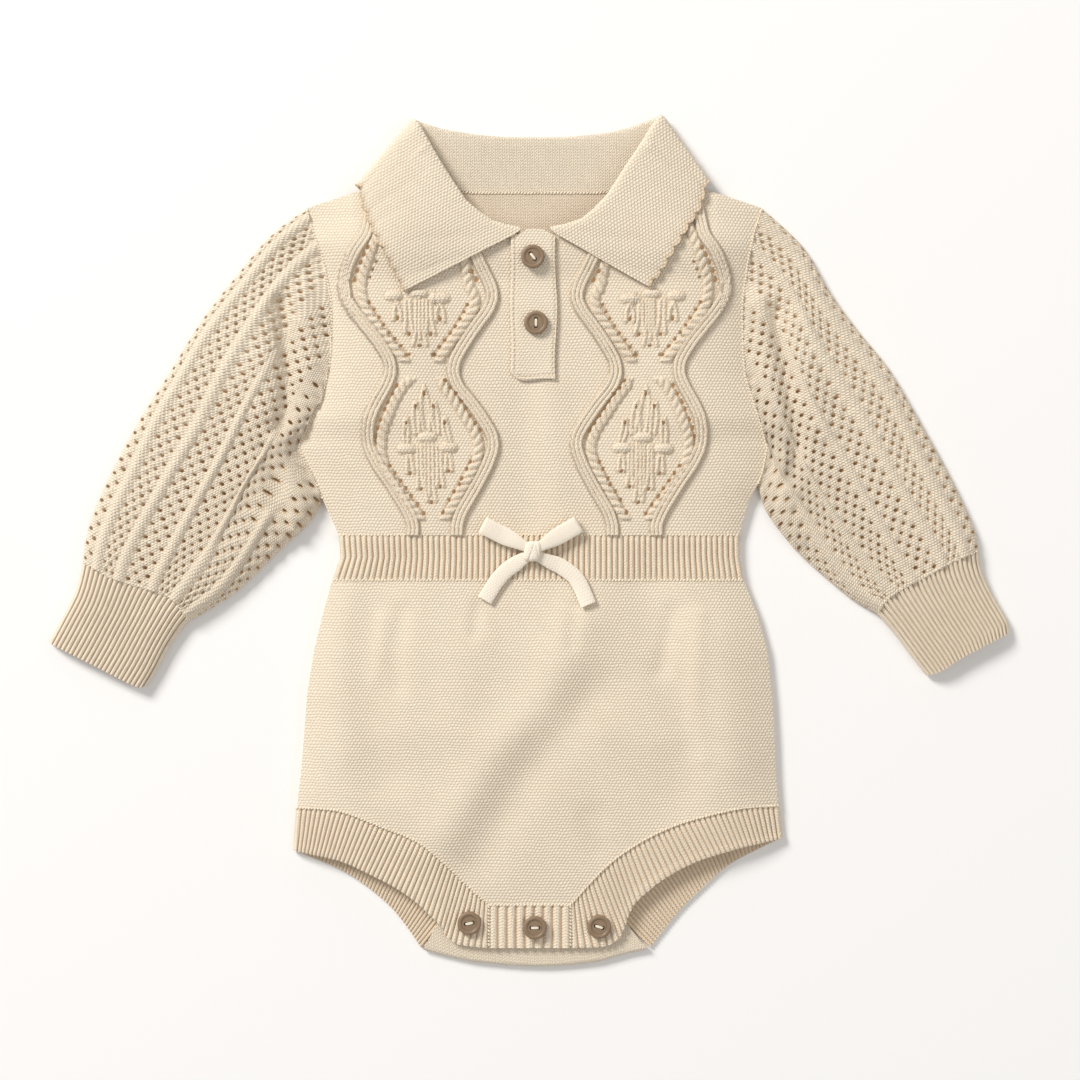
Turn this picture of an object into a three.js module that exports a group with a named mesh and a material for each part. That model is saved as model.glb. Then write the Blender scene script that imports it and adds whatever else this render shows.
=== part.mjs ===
import * as THREE from 'three';

// Baby romper lying flat: +X to the viewer's right, +Y towards the collar, +Z off the table, mm.
// The origin is on the resting plane under the middle of the waistband.

const wall = 1.8;            // body cloth thickness
const ribWall = 1.6;         // rib band thickness
const collarWall = 1.5;      // collar thickness
const seamGap = 0.3;         // space between neighbouring pieces
const waistTop = 10.6;       // upper edge of the waistband
const waistBottom = -11;     // lower edge of the waistband
const bodyPuff = 5.2;        // rise of the front above its side edges
const cableRise = 1.3;       // height of the diamond cables
const ribRise = 0.7;         // height of the ribs
const ridgeRise = 0.9;       // height of the plain sleeve ridges
const collarLift = 2.2;      // rise of the back panel over the collar's back fall
const buttonRadius = 5.65;
const buttonHeight = 2.4;

const cream = 0xf3e6cd;
const paleCream = 0xf7ecdb;
const hornBrown = 0x86715a;

// Body edge, one row per height: y, left x, right x.
const bodyEdge = [
  [-119, -113.8, 116.4],
  [-103.2, -112, 115.2],
  [-84, -110.4, 114.5],
  [-65.3, -109, 113.3],
  [-44.6, -105.7, 111.1],
  [-28.3, -101.8, 106.6],
  [-11, -97, 99.8],
  [0, -93.1, 97.9],
  [10.6, -94, 97.7],
  [17.8, -97, 99.6],
  [27.4, -101.5, 102.5],
  [34.6, -104.2, 106.6],
  [40.8, -107, 109],
  [52.3, -113.3, 111.2],
  [59, -110.3, 109.3],
  [66.2, -107, 107.1],
  [74.4, -101.8, 104.4],
  [86.9, -98.9, 100.4],
  [97.9, -97.4, 99.4],
  [112.6, -97, 99.1],
  [123.6, -97.4, 99.3],
  [142.1, -101, 101.9],
  [154.6, -105.6, 104.6],
  [167, -109, 108.8],
];

// Diamond cables, one row per height: y, outer line, inner line (distances from the middle).
const cableLines = [
  [7.7, 58.6, 37],
  [14.9, 57.6, 37.2],
  [21.1, 60, 35.4],
  [28.3, 64.3, 31.1],
  [36, 69.1, 26.7],
  [43.7, 74.6, 22.7],
  [51.8, 78.7, 19.7],
  [57.8, 79.7, 20],
  [65.8, 78.9, 24.8],
  [73, 75.8, 29.8],
  [81.1, 71, 36.6],
  [88, 68.2, 39.2],
  [94.1, 69.1, 38],
  [102.7, 74.4, 33],
  [110.4, 80.6, 27.8],
  [117.6, 86.4, 22.3],
  [123.8, 90.2, 19.7],
  [129.6, 91.2, 21],
  [137.3, 89.8, 25],
  [145.7, 85.9, 29],
  [153.6, 80.2, 31.8],
  [185, 74, 34],
];

// Neck seam of the front, one row per point from the shoulder to the slot: x, y.
const neckSeam = [
  [-51.4, 184.8],
  [-49.9, 178.1],
  [-47.5, 172.8],
  [-42.7, 166.1],
  [-35.5, 160.8],
  [-27.4, 157],
  [-19.7, 155.2],
  [-10.4, 153.6],
];
const shoulderTip = [109, 167];
// Neck edge of the back by distance from the middle: x, y.
const backSeam = [
  [0, 174.2],
  [30, 174.2],
  [38, 175],
  [45, 178],
  [49.5, 182],
  [51.4, 184.5],
];
const slotHalf = 10.4;       // half width of the placket slot
const slotRow = 97;           // rows of the front above this side height are open at the slot
const slotBottom = 90.1;

// Leg seam of the front, left then right, side to crotch: x, y.
const frontLegLeft = [
  [-113.8, -120],
  [-93.7, -121],
  [-74.6, -128],
  [-55.7, -135.8],
  [-42.8, -146.3],
  [-33.3, -155.9],
  [-22, -166],
];
const frontLegRight = [
  [116.4, -119],
  [97.3, -120],
  [76.6, -124.8],
  [60.7, -130.4],
  [44.8, -139.2],
  [32, -149.5],
  [17, -166],
];
// Lower edge of the front leg ribs: x, y.
const frontEdgeLeft = [
  [-115.2, -140.6],
  [-93.7, -144.7],
  [-81.1, -150.2],
  [-68.3, -156.7],
  [-58.7, -163.1],
  [-50.9, -170.2],
  [-44.4, -176.5],
  [-39.6, -184],
  [-22.4, -186.6],
];
const frontEdgeRight = [
  [118, -134.6],
  [106.8, -136.8],
  [90.9, -140.6],
  [76.6, -145.4],
  [63.8, -151.9],
  [54.3, -159.1],
  [46.4, -167],
  [38.4, -184],
  [17.4, -186.6],
];
// Leg seam and lower edge of the back: x, y.
const backLegLeft = [
  [-113.8, -120],
  [-98, -124.5],
  [-82, -132.5],
  [-67, -144],
  [-55, -156.5],
  [-42, -172],
];
const backLegRight = [
  [116.4, -119],
  [98, -123.5],
  [82, -131.5],
  [68, -142.5],
  [55, -156],
  [40, -172],
];
const backEdgeLeft = [
  [-115.2, -140.6],
  [-93.7, -149.5],
  [-81.1, -157.4],
  [-69.8, -167],
  [-61.9, -176.5],
  [-54.6, -187.2],
];
const backEdgeRight = [
  [118, -134.6],
  [106.8, -140],
  [92.5, -147.8],
  [79.7, -159.1],
  [68.6, -170.2],
  [55, -187.2],
];

// Soft folds of the front, a row each: height, width, then the line's points.
const folds = [
  { height: -2.2, width: 13, line: [[-76, -14], [-80, -41], [-81.6, -65], [-79, -88], [-72, -104]] },
  { height: 1.4, width: 11, line: [[-94, -25], [-93, -60], [-90, -90]] },
  { height: 2.6, width: 13, line: [[20, -32], [5, -73], [-19, -94], [-33, -118], [-42, -132]] },
  { height: -2.0, width: 12, line: [[26, -66], [5, -87], [-8, -109], [-22, -130], [-26, -142]] },
  { height: -2.4, width: 14, line: [[54, -14], [58, -38], [66, -65], [75, -87], [68, -112]] },
  { height: -1.2, width: 14, line: [[40, -60], [46, -82], [52, -100]] },
  { height: 1.6, width: 13, line: [[89, -38], [95, -68], [97, -97]] },
  { height: -0.9, width: 7, line: [[27, -124], [30, -138]] },
  { height: 1.0, width: 12, line: [[-30, -40], [-36, -80]] },
  { height: -0.9, width: 9, line: [[-4, 84], [-6, 50], [-3, 18]] },
  { height: 0.8, width: 9, line: [[8, 80], [10, 45], [12, 18]] },
];

// Sleeve outlines per side, from the shoulder to the cuff and along it: x, y.
const sleeves = {
  left: {
    seamHeights: [167, 154.6, 142.1, 123.6, 112.6, 97.9, 86.9, 74.4, 66.2, 52.3, 40.8, 34.6, 27.4],
    upper: [
      [-109, 167],
      [-126, 154.6],
      [-140.6, 137.8],
      [-159.1, 114.2],
      [-175.2, 88.3],
      [-190.6, 63.8],
      [-206.5, 33.1],
      [-214.5, 12],
      [-216.5, -1.9],
    ],
    lower: [
      [-101.5, 27.4],
      [-104.6, 21.4],
      [-109.9, 14.4],
      [-122.4, 2.9],
      [-140.2, -14.2],
      [-152.4, -23],
      [-165.6, -30.7],
    ],
    join: [
      [-216.5, -1.9],
      [-208, -6.8],
      [-199.4, -11],
      [-181.9, -16.3],
      [-172.3, -20.6],
      [-165.6, -30.7],
    ],
    cuffUpper: [[-216.7, -2.2], [-219.8, -15.8], [-226.1, -28.3], [-232.8, -40.8]],
    cuffLower: [[-166, -31], [-168.8, -34], [-175.4, -43.4], [-181, -54], [-186, -61.8]],
    hem: [[-232.8, -40.8], [-211.2, -51.6], [-189.6, -62.4], [-186, -61.8]],
  },
  right: {
    seamHeights: [167, 154.6, 142.1, 123.6, 112.6, 97.9, 86.9, 74.4, 66.2, 59, 52.3, 40.8, 34.6],
    upper: [
      [108.8, 167],
      [128.6, 148.5],
      [141.4, 126.7],
      [155.5, 107.5],
      [168.5, 91.7],
      [181, 71],
      [200.2, 36],
      [211.2, 12],
      [212.6, 3.2],
    ],
    lower: [
      [106.6, 34.6],
      [108.4, 28.2],
      [110.9, 21.6],
      [117.6, 12],
      [127.2, 1],
      [139.7, -10.1],
      [152.6, -20.6],
      [163.7, -27],
    ],
    join: [
      [212.6, 3.2],
      [200.2, -1.9],
      [187.7, -8.6],
      [175.7, -14.9],
      [168, -20.4],
      [163.7, -27],
    ],
    cuffUpper: [[212.8, 2.9], [213.9, -6], [219.4, -18.2], [226.6, -30.7], [227.4, -36]],
    cuffLower: [[164, -27.3], [171.6, -36], [181, -48.5], [187.4, -56.6]],
    hem: [[227.4, -36], [216, -41.8], [203.5, -48.5], [193.9, -54.7], [187.4, -56.6]],
  },
};

// Collar stations from the left front end round the back to the right front end.
// seam x y, fold x y, outer edge x y, turn of the outward side (0 up, 90 sideways, 180 down).
const collarStations = [
  { seam: [-7.9, 153.6], fold: [-6.9, 156.2], edge: [-62.9, 126.2], turn: 0 },
  { seam: [-13.9, 154.6], fold: [-13.6, 157.6], edge: [-65.3, 130.6], turn: 0 },
  { seam: [-19.7, 156], fold: [-19.7, 159.4], edge: [-67.4, 135.4], turn: 0 },
  { seam: [-27.4, 157.8], fold: [-26.4, 163.7], edge: [-71.6, 143.6], turn: 0 },
  { seam: [-35, 161.5], fold: [-33.1, 169.4], edge: [-75.4, 150.4], turn: 0 },
  { seam: [-42, 166.7], fold: [-39, 178.1], edge: [-78.4, 156.6], turn: 0 },
  { seam: [-46.8, 173.2], fold: [-45.1, 187.7], edge: [-80.9, 162.8], turn: 0 },
  { seam: [-49, 178.4], fold: [-50.4, 197], edge: [-82.8, 168.4], turn: 0 },
  { seam: [-49.8, 182.4], fold: [-55, 205.6], edge: [-83.6, 174.4], turn: 12 },
  { seam: [-50.2, 184.6], fold: [-56.7, 208.1], edge: [-84.8, 176.8], turn: 45 },
  { seam: [-50.5, 184.9], fold: [-57.2, 208.6], edge: [-85.4, 177.4], turn: 90 },
  { seam: [-50.1, 184.7], fold: [-56.5, 208.3], edge: [-84.8, 176.8], turn: 135 },
  { seam: [-48.9, 182.9], fold: [-54, 207.4], edge: [-82.4, 174.4], turn: 168 },
  { seam: [-45, 178.9], fold: [-45.2, 204.6], edge: [-76.8, 163.4], turn: 180 },
  { seam: [-38, 175.6], fold: [-36.4, 203], edge: [-64, 156.8], turn: 180 },
  { seam: [-29, 174.5], fold: [-27.6, 201.6], edge: [-46, 153.2], turn: 180 },
  { seam: [-15, 174.5], fold: [-14.8, 200.6], edge: [-22, 151.8], turn: 180 },
  { seam: [0, 174.5], fold: [0, 200.4], edge: [0, 151.4], turn: 180 },
  { seam: [15, 174.5], fold: [14.8, 200.6], edge: [22, 151.8], turn: 180 },
  { seam: [29, 174.5], fold: [27.8, 201.6], edge: [46, 153.2], turn: 180 },
  { seam: [38, 175.6], fold: [37, 203], edge: [64, 157], turn: 180 },
  { seam: [45, 178.9], fold: [46.4, 205.4], edge: [76.4, 164.4], turn: 180 },
  { seam: [48.9, 182.9], fold: [56.2, 209], edge: [80.6, 176.6], turn: 168 },
  { seam: [50.1, 184.7], fold: [58.8, 210], edge: [82.7, 178.9], turn: 135 },
  { seam: [50.5, 184.9], fold: [59.5, 210.4], edge: [83.4, 179.4], turn: 90 },
  { seam: [50.2, 184.6], fold: [59, 209.8], edge: [82.7, 178.9], turn: 45 },
  { seam: [49.8, 182.4], fold: [57.2, 207.4], edge: [81.4, 176.4], turn: 12 },
  { seam: [49, 178.4], fold: [52.2, 199], edge: [80, 169.6], turn: 0 },
  { seam: [46.8, 173.2], fold: [46.6, 190.6], edge: [78, 164], turn: 0 },
  { seam: [42, 166.7], fold: [40.4, 181], edge: [74.2, 158.4], turn: 0 },
  { seam: [35, 161.5], fold: [34.6, 172], edge: [70.3, 152], turn: 0 },
  { seam: [27.4, 157.8], fold: [28.6, 165.6], edge: [66, 145], turn: 0 },
  { seam: [20.4, 156], fold: [22.6, 160.6], edge: [62, 138.2], turn: 0 },
  { seam: [14.6, 154.6], fold: [15.2, 158], edge: [58, 132.4], turn: 0 },
  { seam: [9, 153.6], fold: [7.4, 156.4], edge: [54.2, 128.4], turn: 0 },
];

function mix(a, b, t) {
  return a + (b - a) * t;
}

function clamp01(t) {
  return Math.min(1, Math.max(0, t));
}

function smooth01(t) {
  const s = clamp01(t);
  return s * s * (3 - 2 * s);
}

// Value of a table's column at height y, straight between its rows.
function column(table, y, index) {
  let k = 0;
  while (k < table.length - 2 && y > table[k + 1][0]) {
    k += 1;
  }
  const [low, high] = [table[k], table[k + 1]];
  return mix(low[index], high[index], clamp01((y - low[0]) / (high[0] - low[0])));
}

// Point at share t of a line's length.
function along(line, t) {
  const lengths = [0];
  for (let k = 1; k < line.length; k += 1) {
    lengths.push(lengths[k - 1] + Math.hypot(line[k][0] - line[k - 1][0], line[k][1] - line[k - 1][1]));
  }
  const target = clamp01(t) * lengths[lengths.length - 1];
  let k = 0;
  while (k < line.length - 2 && target > lengths[k + 1]) {
    k += 1;
  }
  const share = (target - lengths[k]) / (lengths[k + 1] - lengths[k]);
  return [mix(line[k][0], line[k + 1][0], share), mix(line[k][1], line[k + 1][1], share)];
}

// A rounder version of a line, resampled to evenly spaced points.
function rounded(line, count) {
  const curve = new THREE.SplineCurve(line.map(([x, y]) => new THREE.Vector2(x, y)));
  return curve.getSpacedPoints(count).map((point) => [point.x, point.y]);
}

function distanceToLine(x, y, line) {
  let best = Infinity;
  for (let k = 1; k < line.length; k += 1) {
    const [ax, ay] = line[k - 1];
    const [dx, dy] = [line[k][0] - ax, line[k][1] - ay];
    const t = clamp01(((x - ax) * dx + (y - ay) * dy) / (dx * dx + dy * dy));
    best = Math.min(best, Math.hypot(x - ax - dx * t, y - ay - dy * t));
  }
  return best;
}

// Faces of a grid of points; cells for which keep(row, column) is false are left open.
function gridFaces(rows, ring, keep, flipped, start) {
  const faces = [];
  const count = rows[0].length;
  for (let r = 0; r < rows.length - 1; r += 1) {
    for (let c = 0; c < (ring ? count : count - 1); c += 1) {
      if (!keep(r, c)) {
        continue;
      }
      const next = (c + 1) % count;
      const a = start + r * count + c;
      const b = start + r * count + next;
      const d = start + (r + 1) * count + c;
      const e = start + (r + 1) * count + next;
      faces.push(flipped ? [a, e, b] : [a, b, e], flipped ? [a, d, e] : [a, e, d]);
    }
  }
  return faces;
}

// Open borders of a set of faces as loops of point numbers.
function borderLoops(faces) {
  const edges = new Set();
  for (const [a, b, c] of faces) {
    edges.add(`${a},${b}`);
    edges.add(`${b},${c}`);
    edges.add(`${c},${a}`);
  }
  const next = new Map();
  for (const edge of edges) {
    const [a, b] = edge.split(',').map(Number);
    if (!edges.has(`${b},${a}`)) {
      next.set(a, b);
    }
  }
  const loops = [];
  while (next.size > 0) {
    const first = next.keys().next().value;
    const loop = [];
    let point = first;
    while (next.has(point)) {
      loop.push(point);
      const following = next.get(point);
      next.delete(point);
      point = following;
    }
    loops.push(loop);
  }
  return loops;
}

// Rim between two loops that run side by side, always taking the shorter next side.
function zipLoops(points, outerLoop, innerLoop, faces) {
  const near = (a, b) => points[a].distanceTo(points[b]);
  let shift = 0;
  innerLoop.forEach((point, k) => {
    if (near(outerLoop[0], point) < near(outerLoop[0], innerLoop[shift])) {
      shift = k;
    }
  });
  const inner = innerLoop.map((point, k) => innerLoop[(k + shift) % innerLoop.length]);
  const outerAt = (k) => outerLoop[k % outerLoop.length];
  const innerAt = (k) => inner[k % inner.length];
  let i = 0;
  let j = 0;
  while (i < outerLoop.length || j < inner.length) {
    const outerStep = i < outerLoop.length ? near(outerAt(i + 1), innerAt(j)) : Infinity;
    const innerStep = j < inner.length ? near(outerAt(i), innerAt(j + 1)) : Infinity;
    if (outerStep <= innerStep) {
      faces.push([outerAt(i + 1), outerAt(i), innerAt(j)]);
      i += 1;
    } else {
      faces.push([innerAt(j), innerAt(j + 1), outerAt(i)]);
      j += 1;
    }
  }
}

function loopCentre(points, loop) {
  const centre = new THREE.Vector3();
  loop.forEach((k) => centre.add(points[k]));
  return centre.divideScalar(loop.length);
}

function meshOf(name, colour, points, faces) {
  let volume = 0;
  for (const [a, b, c] of faces) {
    volume += points[a].dot(new THREE.Vector3().crossVectors(points[b], points[c]));
  }
  const geometry = new THREE.BufferGeometry();
  geometry.setAttribute('position', new THREE.BufferAttribute(new Float32Array(
    points.flatMap((point) => [point.x, point.y, point.z])), 3));
  geometry.setIndex(faces.flatMap(([a, b, c]) => (volume < 0 ? [a, c, b] : [a, b, c])));
  geometry.computeVertexNormals();
  const material = new THREE.MeshStandardMaterial({ color: colour, roughness: 0.9 });
  const mesh = new THREE.Mesh(geometry, material);
  mesh.name = name;
  return mesh;
}

// A closed cloth wall between two grids, which may have different numbers of points.
function clothWall(name, colour, outer, inner, ring = false, keepOuter = () => true, keepInner = () => true) {
  const points = [...outer.flat(), ...inner.flat()];
  const outerFaces = gridFaces(outer, ring, keepOuter, false, 0);
  const innerFaces = gridFaces(inner, ring, keepInner, true, outer.length * outer[0].length);
  const faces = [...outerFaces, ...innerFaces];
  const innerLoops = borderLoops(innerFaces).map((loop) => loop.reverse());
  for (const loop of borderLoops(outerFaces)) {
    const centre = loopCentre(points, loop);
    const partner = innerLoops.reduce((best, other) => (
      loopCentre(points, other).distanceTo(centre) < loopCentre(points, best).distanceTo(centre) ? other : best));
    zipLoops(points, loop, partner, faces);
  }
  return meshOf(name, colour, points, faces);
}

// Grid of points from a function of row and column shares.
function gridOf(rowShares, columnShares, place) {
  return rowShares.map((v) => columnShares.map((u) => place(u, v)));
}

function shares(count) {
  return Array.from({ length: count + 1 }, (_, k) => k / count);
}

// Surface normals of an open grid by differences between neighbouring points.
function gridNormals(rows) {
  return rows.map((row, r) => row.map((point, c) => {
    const alongRow = new THREE.Vector3().subVectors(row[Math.min(c + 1, row.length - 1)], row[Math.max(c - 1, 0)]);
    const across = new THREE.Vector3().subVectors(
      rows[Math.min(r + 1, rows.length - 1)][c], rows[Math.max(r - 1, 0)][c]);
    return alongRow.cross(across).normalize();
  }));
}

// A sheet of even thickness about a middle grid, with ribs(row, column) added on its outer side.
function bentSheet(name, colour, middle, thickness, ribs = () => 0) {
  const normals = gridNormals(middle);
  const moved = (side) => middle.map((row, r) => row.map((point, c) => (
    point.clone().addScaledVector(normals[r][c], side * thickness / 2 + (side > 0 ? ribs(r, c) : 0)))));
  return clothWall(name, colour, moved(1), moved(-1));
}

const puffRows = [
  [-190, 2.6],
  [-166, 3.4],
  [-140, 5.2],
  [-115, 6.6],
  [-84, 7.6],
  [-45, 6.8],
  [-11, 4.8],
  [0, 4.4],
  [10.6, 4.8],
  [40, bodyPuff],
  [120, bodyPuff + 0.6],
  [165, bodyPuff],
];

// Height of the back panel's underside: flat, lifted over the collar's back fall.
function backLift(x, y) {
  return collarLift * smooth01((y - 130) / 18) * clamp01((shoulderTip[0] - Math.abs(x)) / 22);
}

function shoulderDistance(x, y) {
  return distanceToLine(Math.abs(x), y, [[51.4, 184.8], shoulderTip]);
}

// Height of the front's upper side, without cables and ribs.
function frontTop(x, y) {
  const left = column(bodyEdge, y, 1);
  const right = column(bodyEdge, y, 2);
  const across = Math.abs(x - (left + right) / 2) / ((right - left) / 2);
  const sides = 1 - Math.min(1, across) ** 7;
  const shoulder = 1 - Math.exp(-shoulderDistance(x, y) / 12);
  const armhole = 2 * smooth01((y - 54) / 14) * (1 - smooth01((y - 148) / 16)) * smooth01((across - 0.3) / 0.5);
  let height = seamGap + 2 * wall + 1.1 * backLift(x, y) + armhole;
  height += column(puffRows, y, 1) * sides * shoulder;
  for (const fold of folds) {
    height += fold.height * sides * Math.exp(-((distanceToLine(x, y, fold.line) / fold.width) ** 2));
  }
  return height;
}

// Height y of the shoulder seam or the front neck seam at x.
function neckHeight(x) {
  const side = Math.abs(x);
  if (side > 51.4) {
    return mix(184.8, 167, (side - 51.4) / (shoulderTip[0] - 51.4));
  }
  const seam = neckSeam.map(([seamX, seamY]) => [Math.abs(seamX), seamY]).reverse();
  return column(seam, side, 1) - 1.5;
}

// Columns of the front from the side to the slot, as [x at height y, rise].
function frontColumns(y, side) {
  const edge = side * column(bodyEdge, y, side < 0 ? 1 : 2);
  const outer = column(cableLines, y, 1);
  const inner = column(cableLines, y, 2);
  const centre = (outer + inner) / 2;
  return [
    [edge, 0],
    [edge - (edge - outer - 2.9) * 0.34, 0],
    [edge - (edge - outer - 2.9) * 0.7, 0],
    [outer + 2.9, 0],
    [outer, cableRise],
    [outer - 2.9, 0],
    [mix(outer - 2.9, centre, 0.5), 0.5],
    [centre, 0.9],
    [mix(inner + 2.9, centre, 0.5), 0.5],
    [inner + 2.9, 0],
    [inner, cableRise],
    [inner - 2.9, 0],
    [slotHalf, 0],
  ];
}

const bodiceHeights = bodyEdge.filter(([y]) => y >= waistTop).map(([y]) => y);

function bodiceFront() {
  const place = (side, index, height, depth) => {
    // the column's own top lies on the shoulder or the neck seam
    let top = shoulderTip[1];
    for (let pass = 0; pass < 3 && index > 0; pass += 1) {
      top = neckHeight(frontColumns(top, side)[index][0]);
    }
    const share = (height - waistTop) / (shoulderTip[1] - waistTop);
    const y = mix(waistTop, top, share);
    const [distance, rise] = frontColumns(index === 0 ? height : y, side)[index];
    const x = side * distance;
    return new THREE.Vector3(x, y, frontTop(x, y) + (depth > 0 ? -depth : rise));
  };
  const rowOf = (indexes, height, depth) => [
    ...indexes.map((index) => place(-1, index, height, depth)),
    ...[...indexes].reverse().map((index) => place(1, index, height, depth)),
  ];
  const all = Array.from({ length: 13 }, (_, k) => k);
  const few = [0, 1, 2, 4, 7, 9, 11, 12];
  const outer = bodiceHeights.map((height) => rowOf(all, height, 0));
  const inner = bodiceHeights.map((height) => rowOf(few, height, wall));
  const open = (middle) => (row, cell) => !(cell === middle && bodiceHeights[row] >= slotRow);
  return clothWall('bodice_front', cream, outer, inner, false, open(all.length - 1), open(few.length - 1));
}

function bodiceBack() {
  const half = [30, 38, 45, 49.5, 52.5, 64, 78, 93, 109];
  const spread = [...half.map((x) => -x).reverse(), 0, ...half];
  const place = (height, topX, level) => {
    const edge = column(bodyEdge, height, topX < 0 ? 1 : 2);
    const x = (Math.abs(topX) / shoulderTip[0]) * edge;
    const top = Math.abs(topX) < 51.4 ? column(backSeam, Math.abs(topX), 1) : neckHeight(topX);
    const share = (height - waistTop) / (shoulderTip[1] - waistTop);
    const y = mix(waistTop, top, share);
    return new THREE.Vector3(x, y, backLift(x, y) + level);
  };
  const sheet = (level) => bodiceHeights.map((height) => spread.map((x) => place(height, x, level)));
  return clothWall('bodice_back', cream, sheet(wall), sheet(0));
}

function waistFront() {
  const heights = [waistBottom + seamGap, 0, waistTop - seamGap];
  const place = (y, u, level) => {
    const x = mix(column(bodyEdge, y, 1), column(bodyEdge, y, 2), u);
    return new THREE.Vector3(x, y, frontTop(x, y) + level);
  };
  const crests = heights.map((y) => shares(100).map((u, k) => place(y, u, k % 2 === 1 ? ribRise - 0.3 : -0.3)));
  const plain = gridOf(heights, shares(20), (u, y) => place(y, u, -wall));
  return clothWall('waist_rib_front', cream, crests, plain);
}

function waistBack() {
  const heights = [waistBottom + seamGap, 0, waistTop - seamGap];
  const place = (y, u, level) => (
    new THREE.Vector3(mix(column(bodyEdge, y, 1), column(bodyEdge, y, 2), u), y, level));
  const sheet = (level) => gridOf(heights, shares(8), (u, y) => place(y, u, level));
  return clothWall('waist_rib_back', cream, sheet(wall), sheet(0));
}

// Lower border of the shorts from left to right: leg seam, crotch seam, leg seam.
function shortsHem(legLeft, legRight) {
  const left = rounded(legLeft, 10);
  const right = rounded(legRight, 10).reverse();
  const crotch = shares(4).slice(1, 4).map((t) => [mix(left[10][0], right[0][0], t), mix(left[10][1], right[0][1], t)]);
  return [...left, ...crotch, ...right];
}

const frontHem = shortsHem(frontLegLeft, frontLegRight);
const backHem = shortsHem(backLegLeft, backLegRight);

// Point of the shorts between the waist and the hem's point k of 24.
function shortsPoint(hem, k, down) {
  const [hemX, hemY] = hem[k];
  const y = mix(waistBottom, hemY, down);
  const left = column(bodyEdge, y, 1);
  const right = column(bodyEdge, y, 2);
  const hemLeft = column(bodyEdge, hemY, 1);
  const hemRight = column(bodyEdge, hemY, 2);
  const hemShare = (hemX - hemLeft) / (hemRight - hemLeft);
  return [mix(left, right, mix(k / 24, hemShare, down)), y];
}

function shortsFront() {
  const rows = shares(18).reverse();
  const sheet = (downs, level) => downs.map((down) => frontHem.map((_, k) => {
    const [x, y] = shortsPoint(frontHem, k, down);
    return new THREE.Vector3(x, y, frontTop(x, y) + level);
  }));
  return clothWall('shorts_front', cream, sheet(rows, 0), sheet(shares(9).reverse(), -wall));
}

function shortsBack() {
  const sheet = (level) => shares(8).reverse().map((down) => backHem.map((_, k) => {
    const [x, y] = shortsPoint(backHem, k, down);
    return new THREE.Vector3(x, y, level);
  }));
  return clothWall('shorts_back', cream, sheet(wall), sheet(0));
}

// Plan point of a four-sided patch between two end lines and two side lines.
function patch(first, last, lower, upper, u, v) {
  const [a, b, c, d] = [first(u), last(u), lower(v), upper(v)];
  const [p, q, r, s] = [first(0), first(1), last(0), last(1)];
  return [0, 1].map((axis) => (
    mix(a[axis], b[axis], v) + mix(c[axis], d[axis], u)
    - mix(mix(p[axis], q[axis], u), mix(r[axis], s[axis], u), v)));
}

// Point of a polyline with evenly numbered corners.
function stepped(line) {
  return (t) => {
    const k = Math.min(line.length - 2, Math.floor(clamp01(t) * (line.length - 1)));
    const share = clamp01(t) * (line.length - 1) - k;
    return [mix(line[k][0], line[k + 1][0], share), mix(line[k][1], line[k + 1][1], share)];
  };
}

const innerEdge = 2.4;       // inset of a tube's hollow from its side edges
const tubeMiddle = 1.9;      // height of a tube's side edges

function sleevePlan(side) {
  const { seamHeights, upper, lower, join } = sleeves[side];
  const index = side === 'left' ? 1 : 2;
  const outward = side === 'left' ? -0.38 : 0.38;
  const armhole = seamHeights.map((y) => [column(bodyEdge, y, index) + outward, y]);
  const joinLine = rounded(join, 12);
  const upperLine = rounded([[armhole[0][0], armhole[0][1]], ...upper.slice(1)], 24);
  const lowerLine = rounded([armhole[12], ...lower.slice(1)], 24);
  return { armhole, joinLine, upperLine, lowerLine };
}

// Closed rings of a flat tube: a front over a plain back, joined at rounded side edges.
function tubeRings(rowShares, frontShares, backShares, plan, frontHeight, backHeight, inset) {
  return rowShares.map((v) => {
    const width = Math.hypot(plan(1, v)[0] - plan(0, v)[0], plan(1, v)[1] - plan(0, v)[1]);
    const edge = inset / width;
    const at = (u, z) => {
      const [x, y] = plan(mix(edge, 1 - edge, u), v);
      return new THREE.Vector3(x, y, z);
    };
    return [
      ...frontShares.map((u) => at(u, frontHeight(u, v))),
      ...[...backShares].reverse().map((u) => at(u, backHeight)),
    ];
  });
}

function sleeve(side) {
  const { armhole, joinLine, upperLine, lowerLine } = sleevePlan(side);
  const plan = (u, v) => patch(stepped(armhole), stepped(joinLine), stepped(upperLine), stepped(lowerLine), u, v);
  const top = (u, v) => {
    const round = 1 - Math.abs(2 * u - 1) ** 5;
    return 4 + round * mix(1.9, mix(6.2, 4.6, smooth01(v)), smooth01(v / 0.3));
  };
  const outerTop = (u, v) => {
    if (u === 0 || u === 1) {
      return tubeMiddle;
    }
    const step = Math.round(u * 12);
    const ridge = Math.abs(u * 12 - step) < 1e-6 && step % 2 === 1 ? ridgeRise : 0;
    return top(u, v) + ridge * smooth01(v / 0.1);
  };
  const steps = shares(12);
  const front = [0, 0.02, ...steps.slice(1, 12), 0.98, 1];
  const back = [0.02, ...steps.slice(1, 12), 0.98];
  const outer = tubeRings(shares(11), front, back, plan, outerTop, 0, 0);
  const inner = tubeRings(shares(5), steps.slice(1, 12), steps.slice(1, 12), plan,
    (u, v) => top(u, v) - 1.7, 1.6, 0);
  return clothWall(`sleeve_${side}`, cream, outer, inner, true);
}

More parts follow.
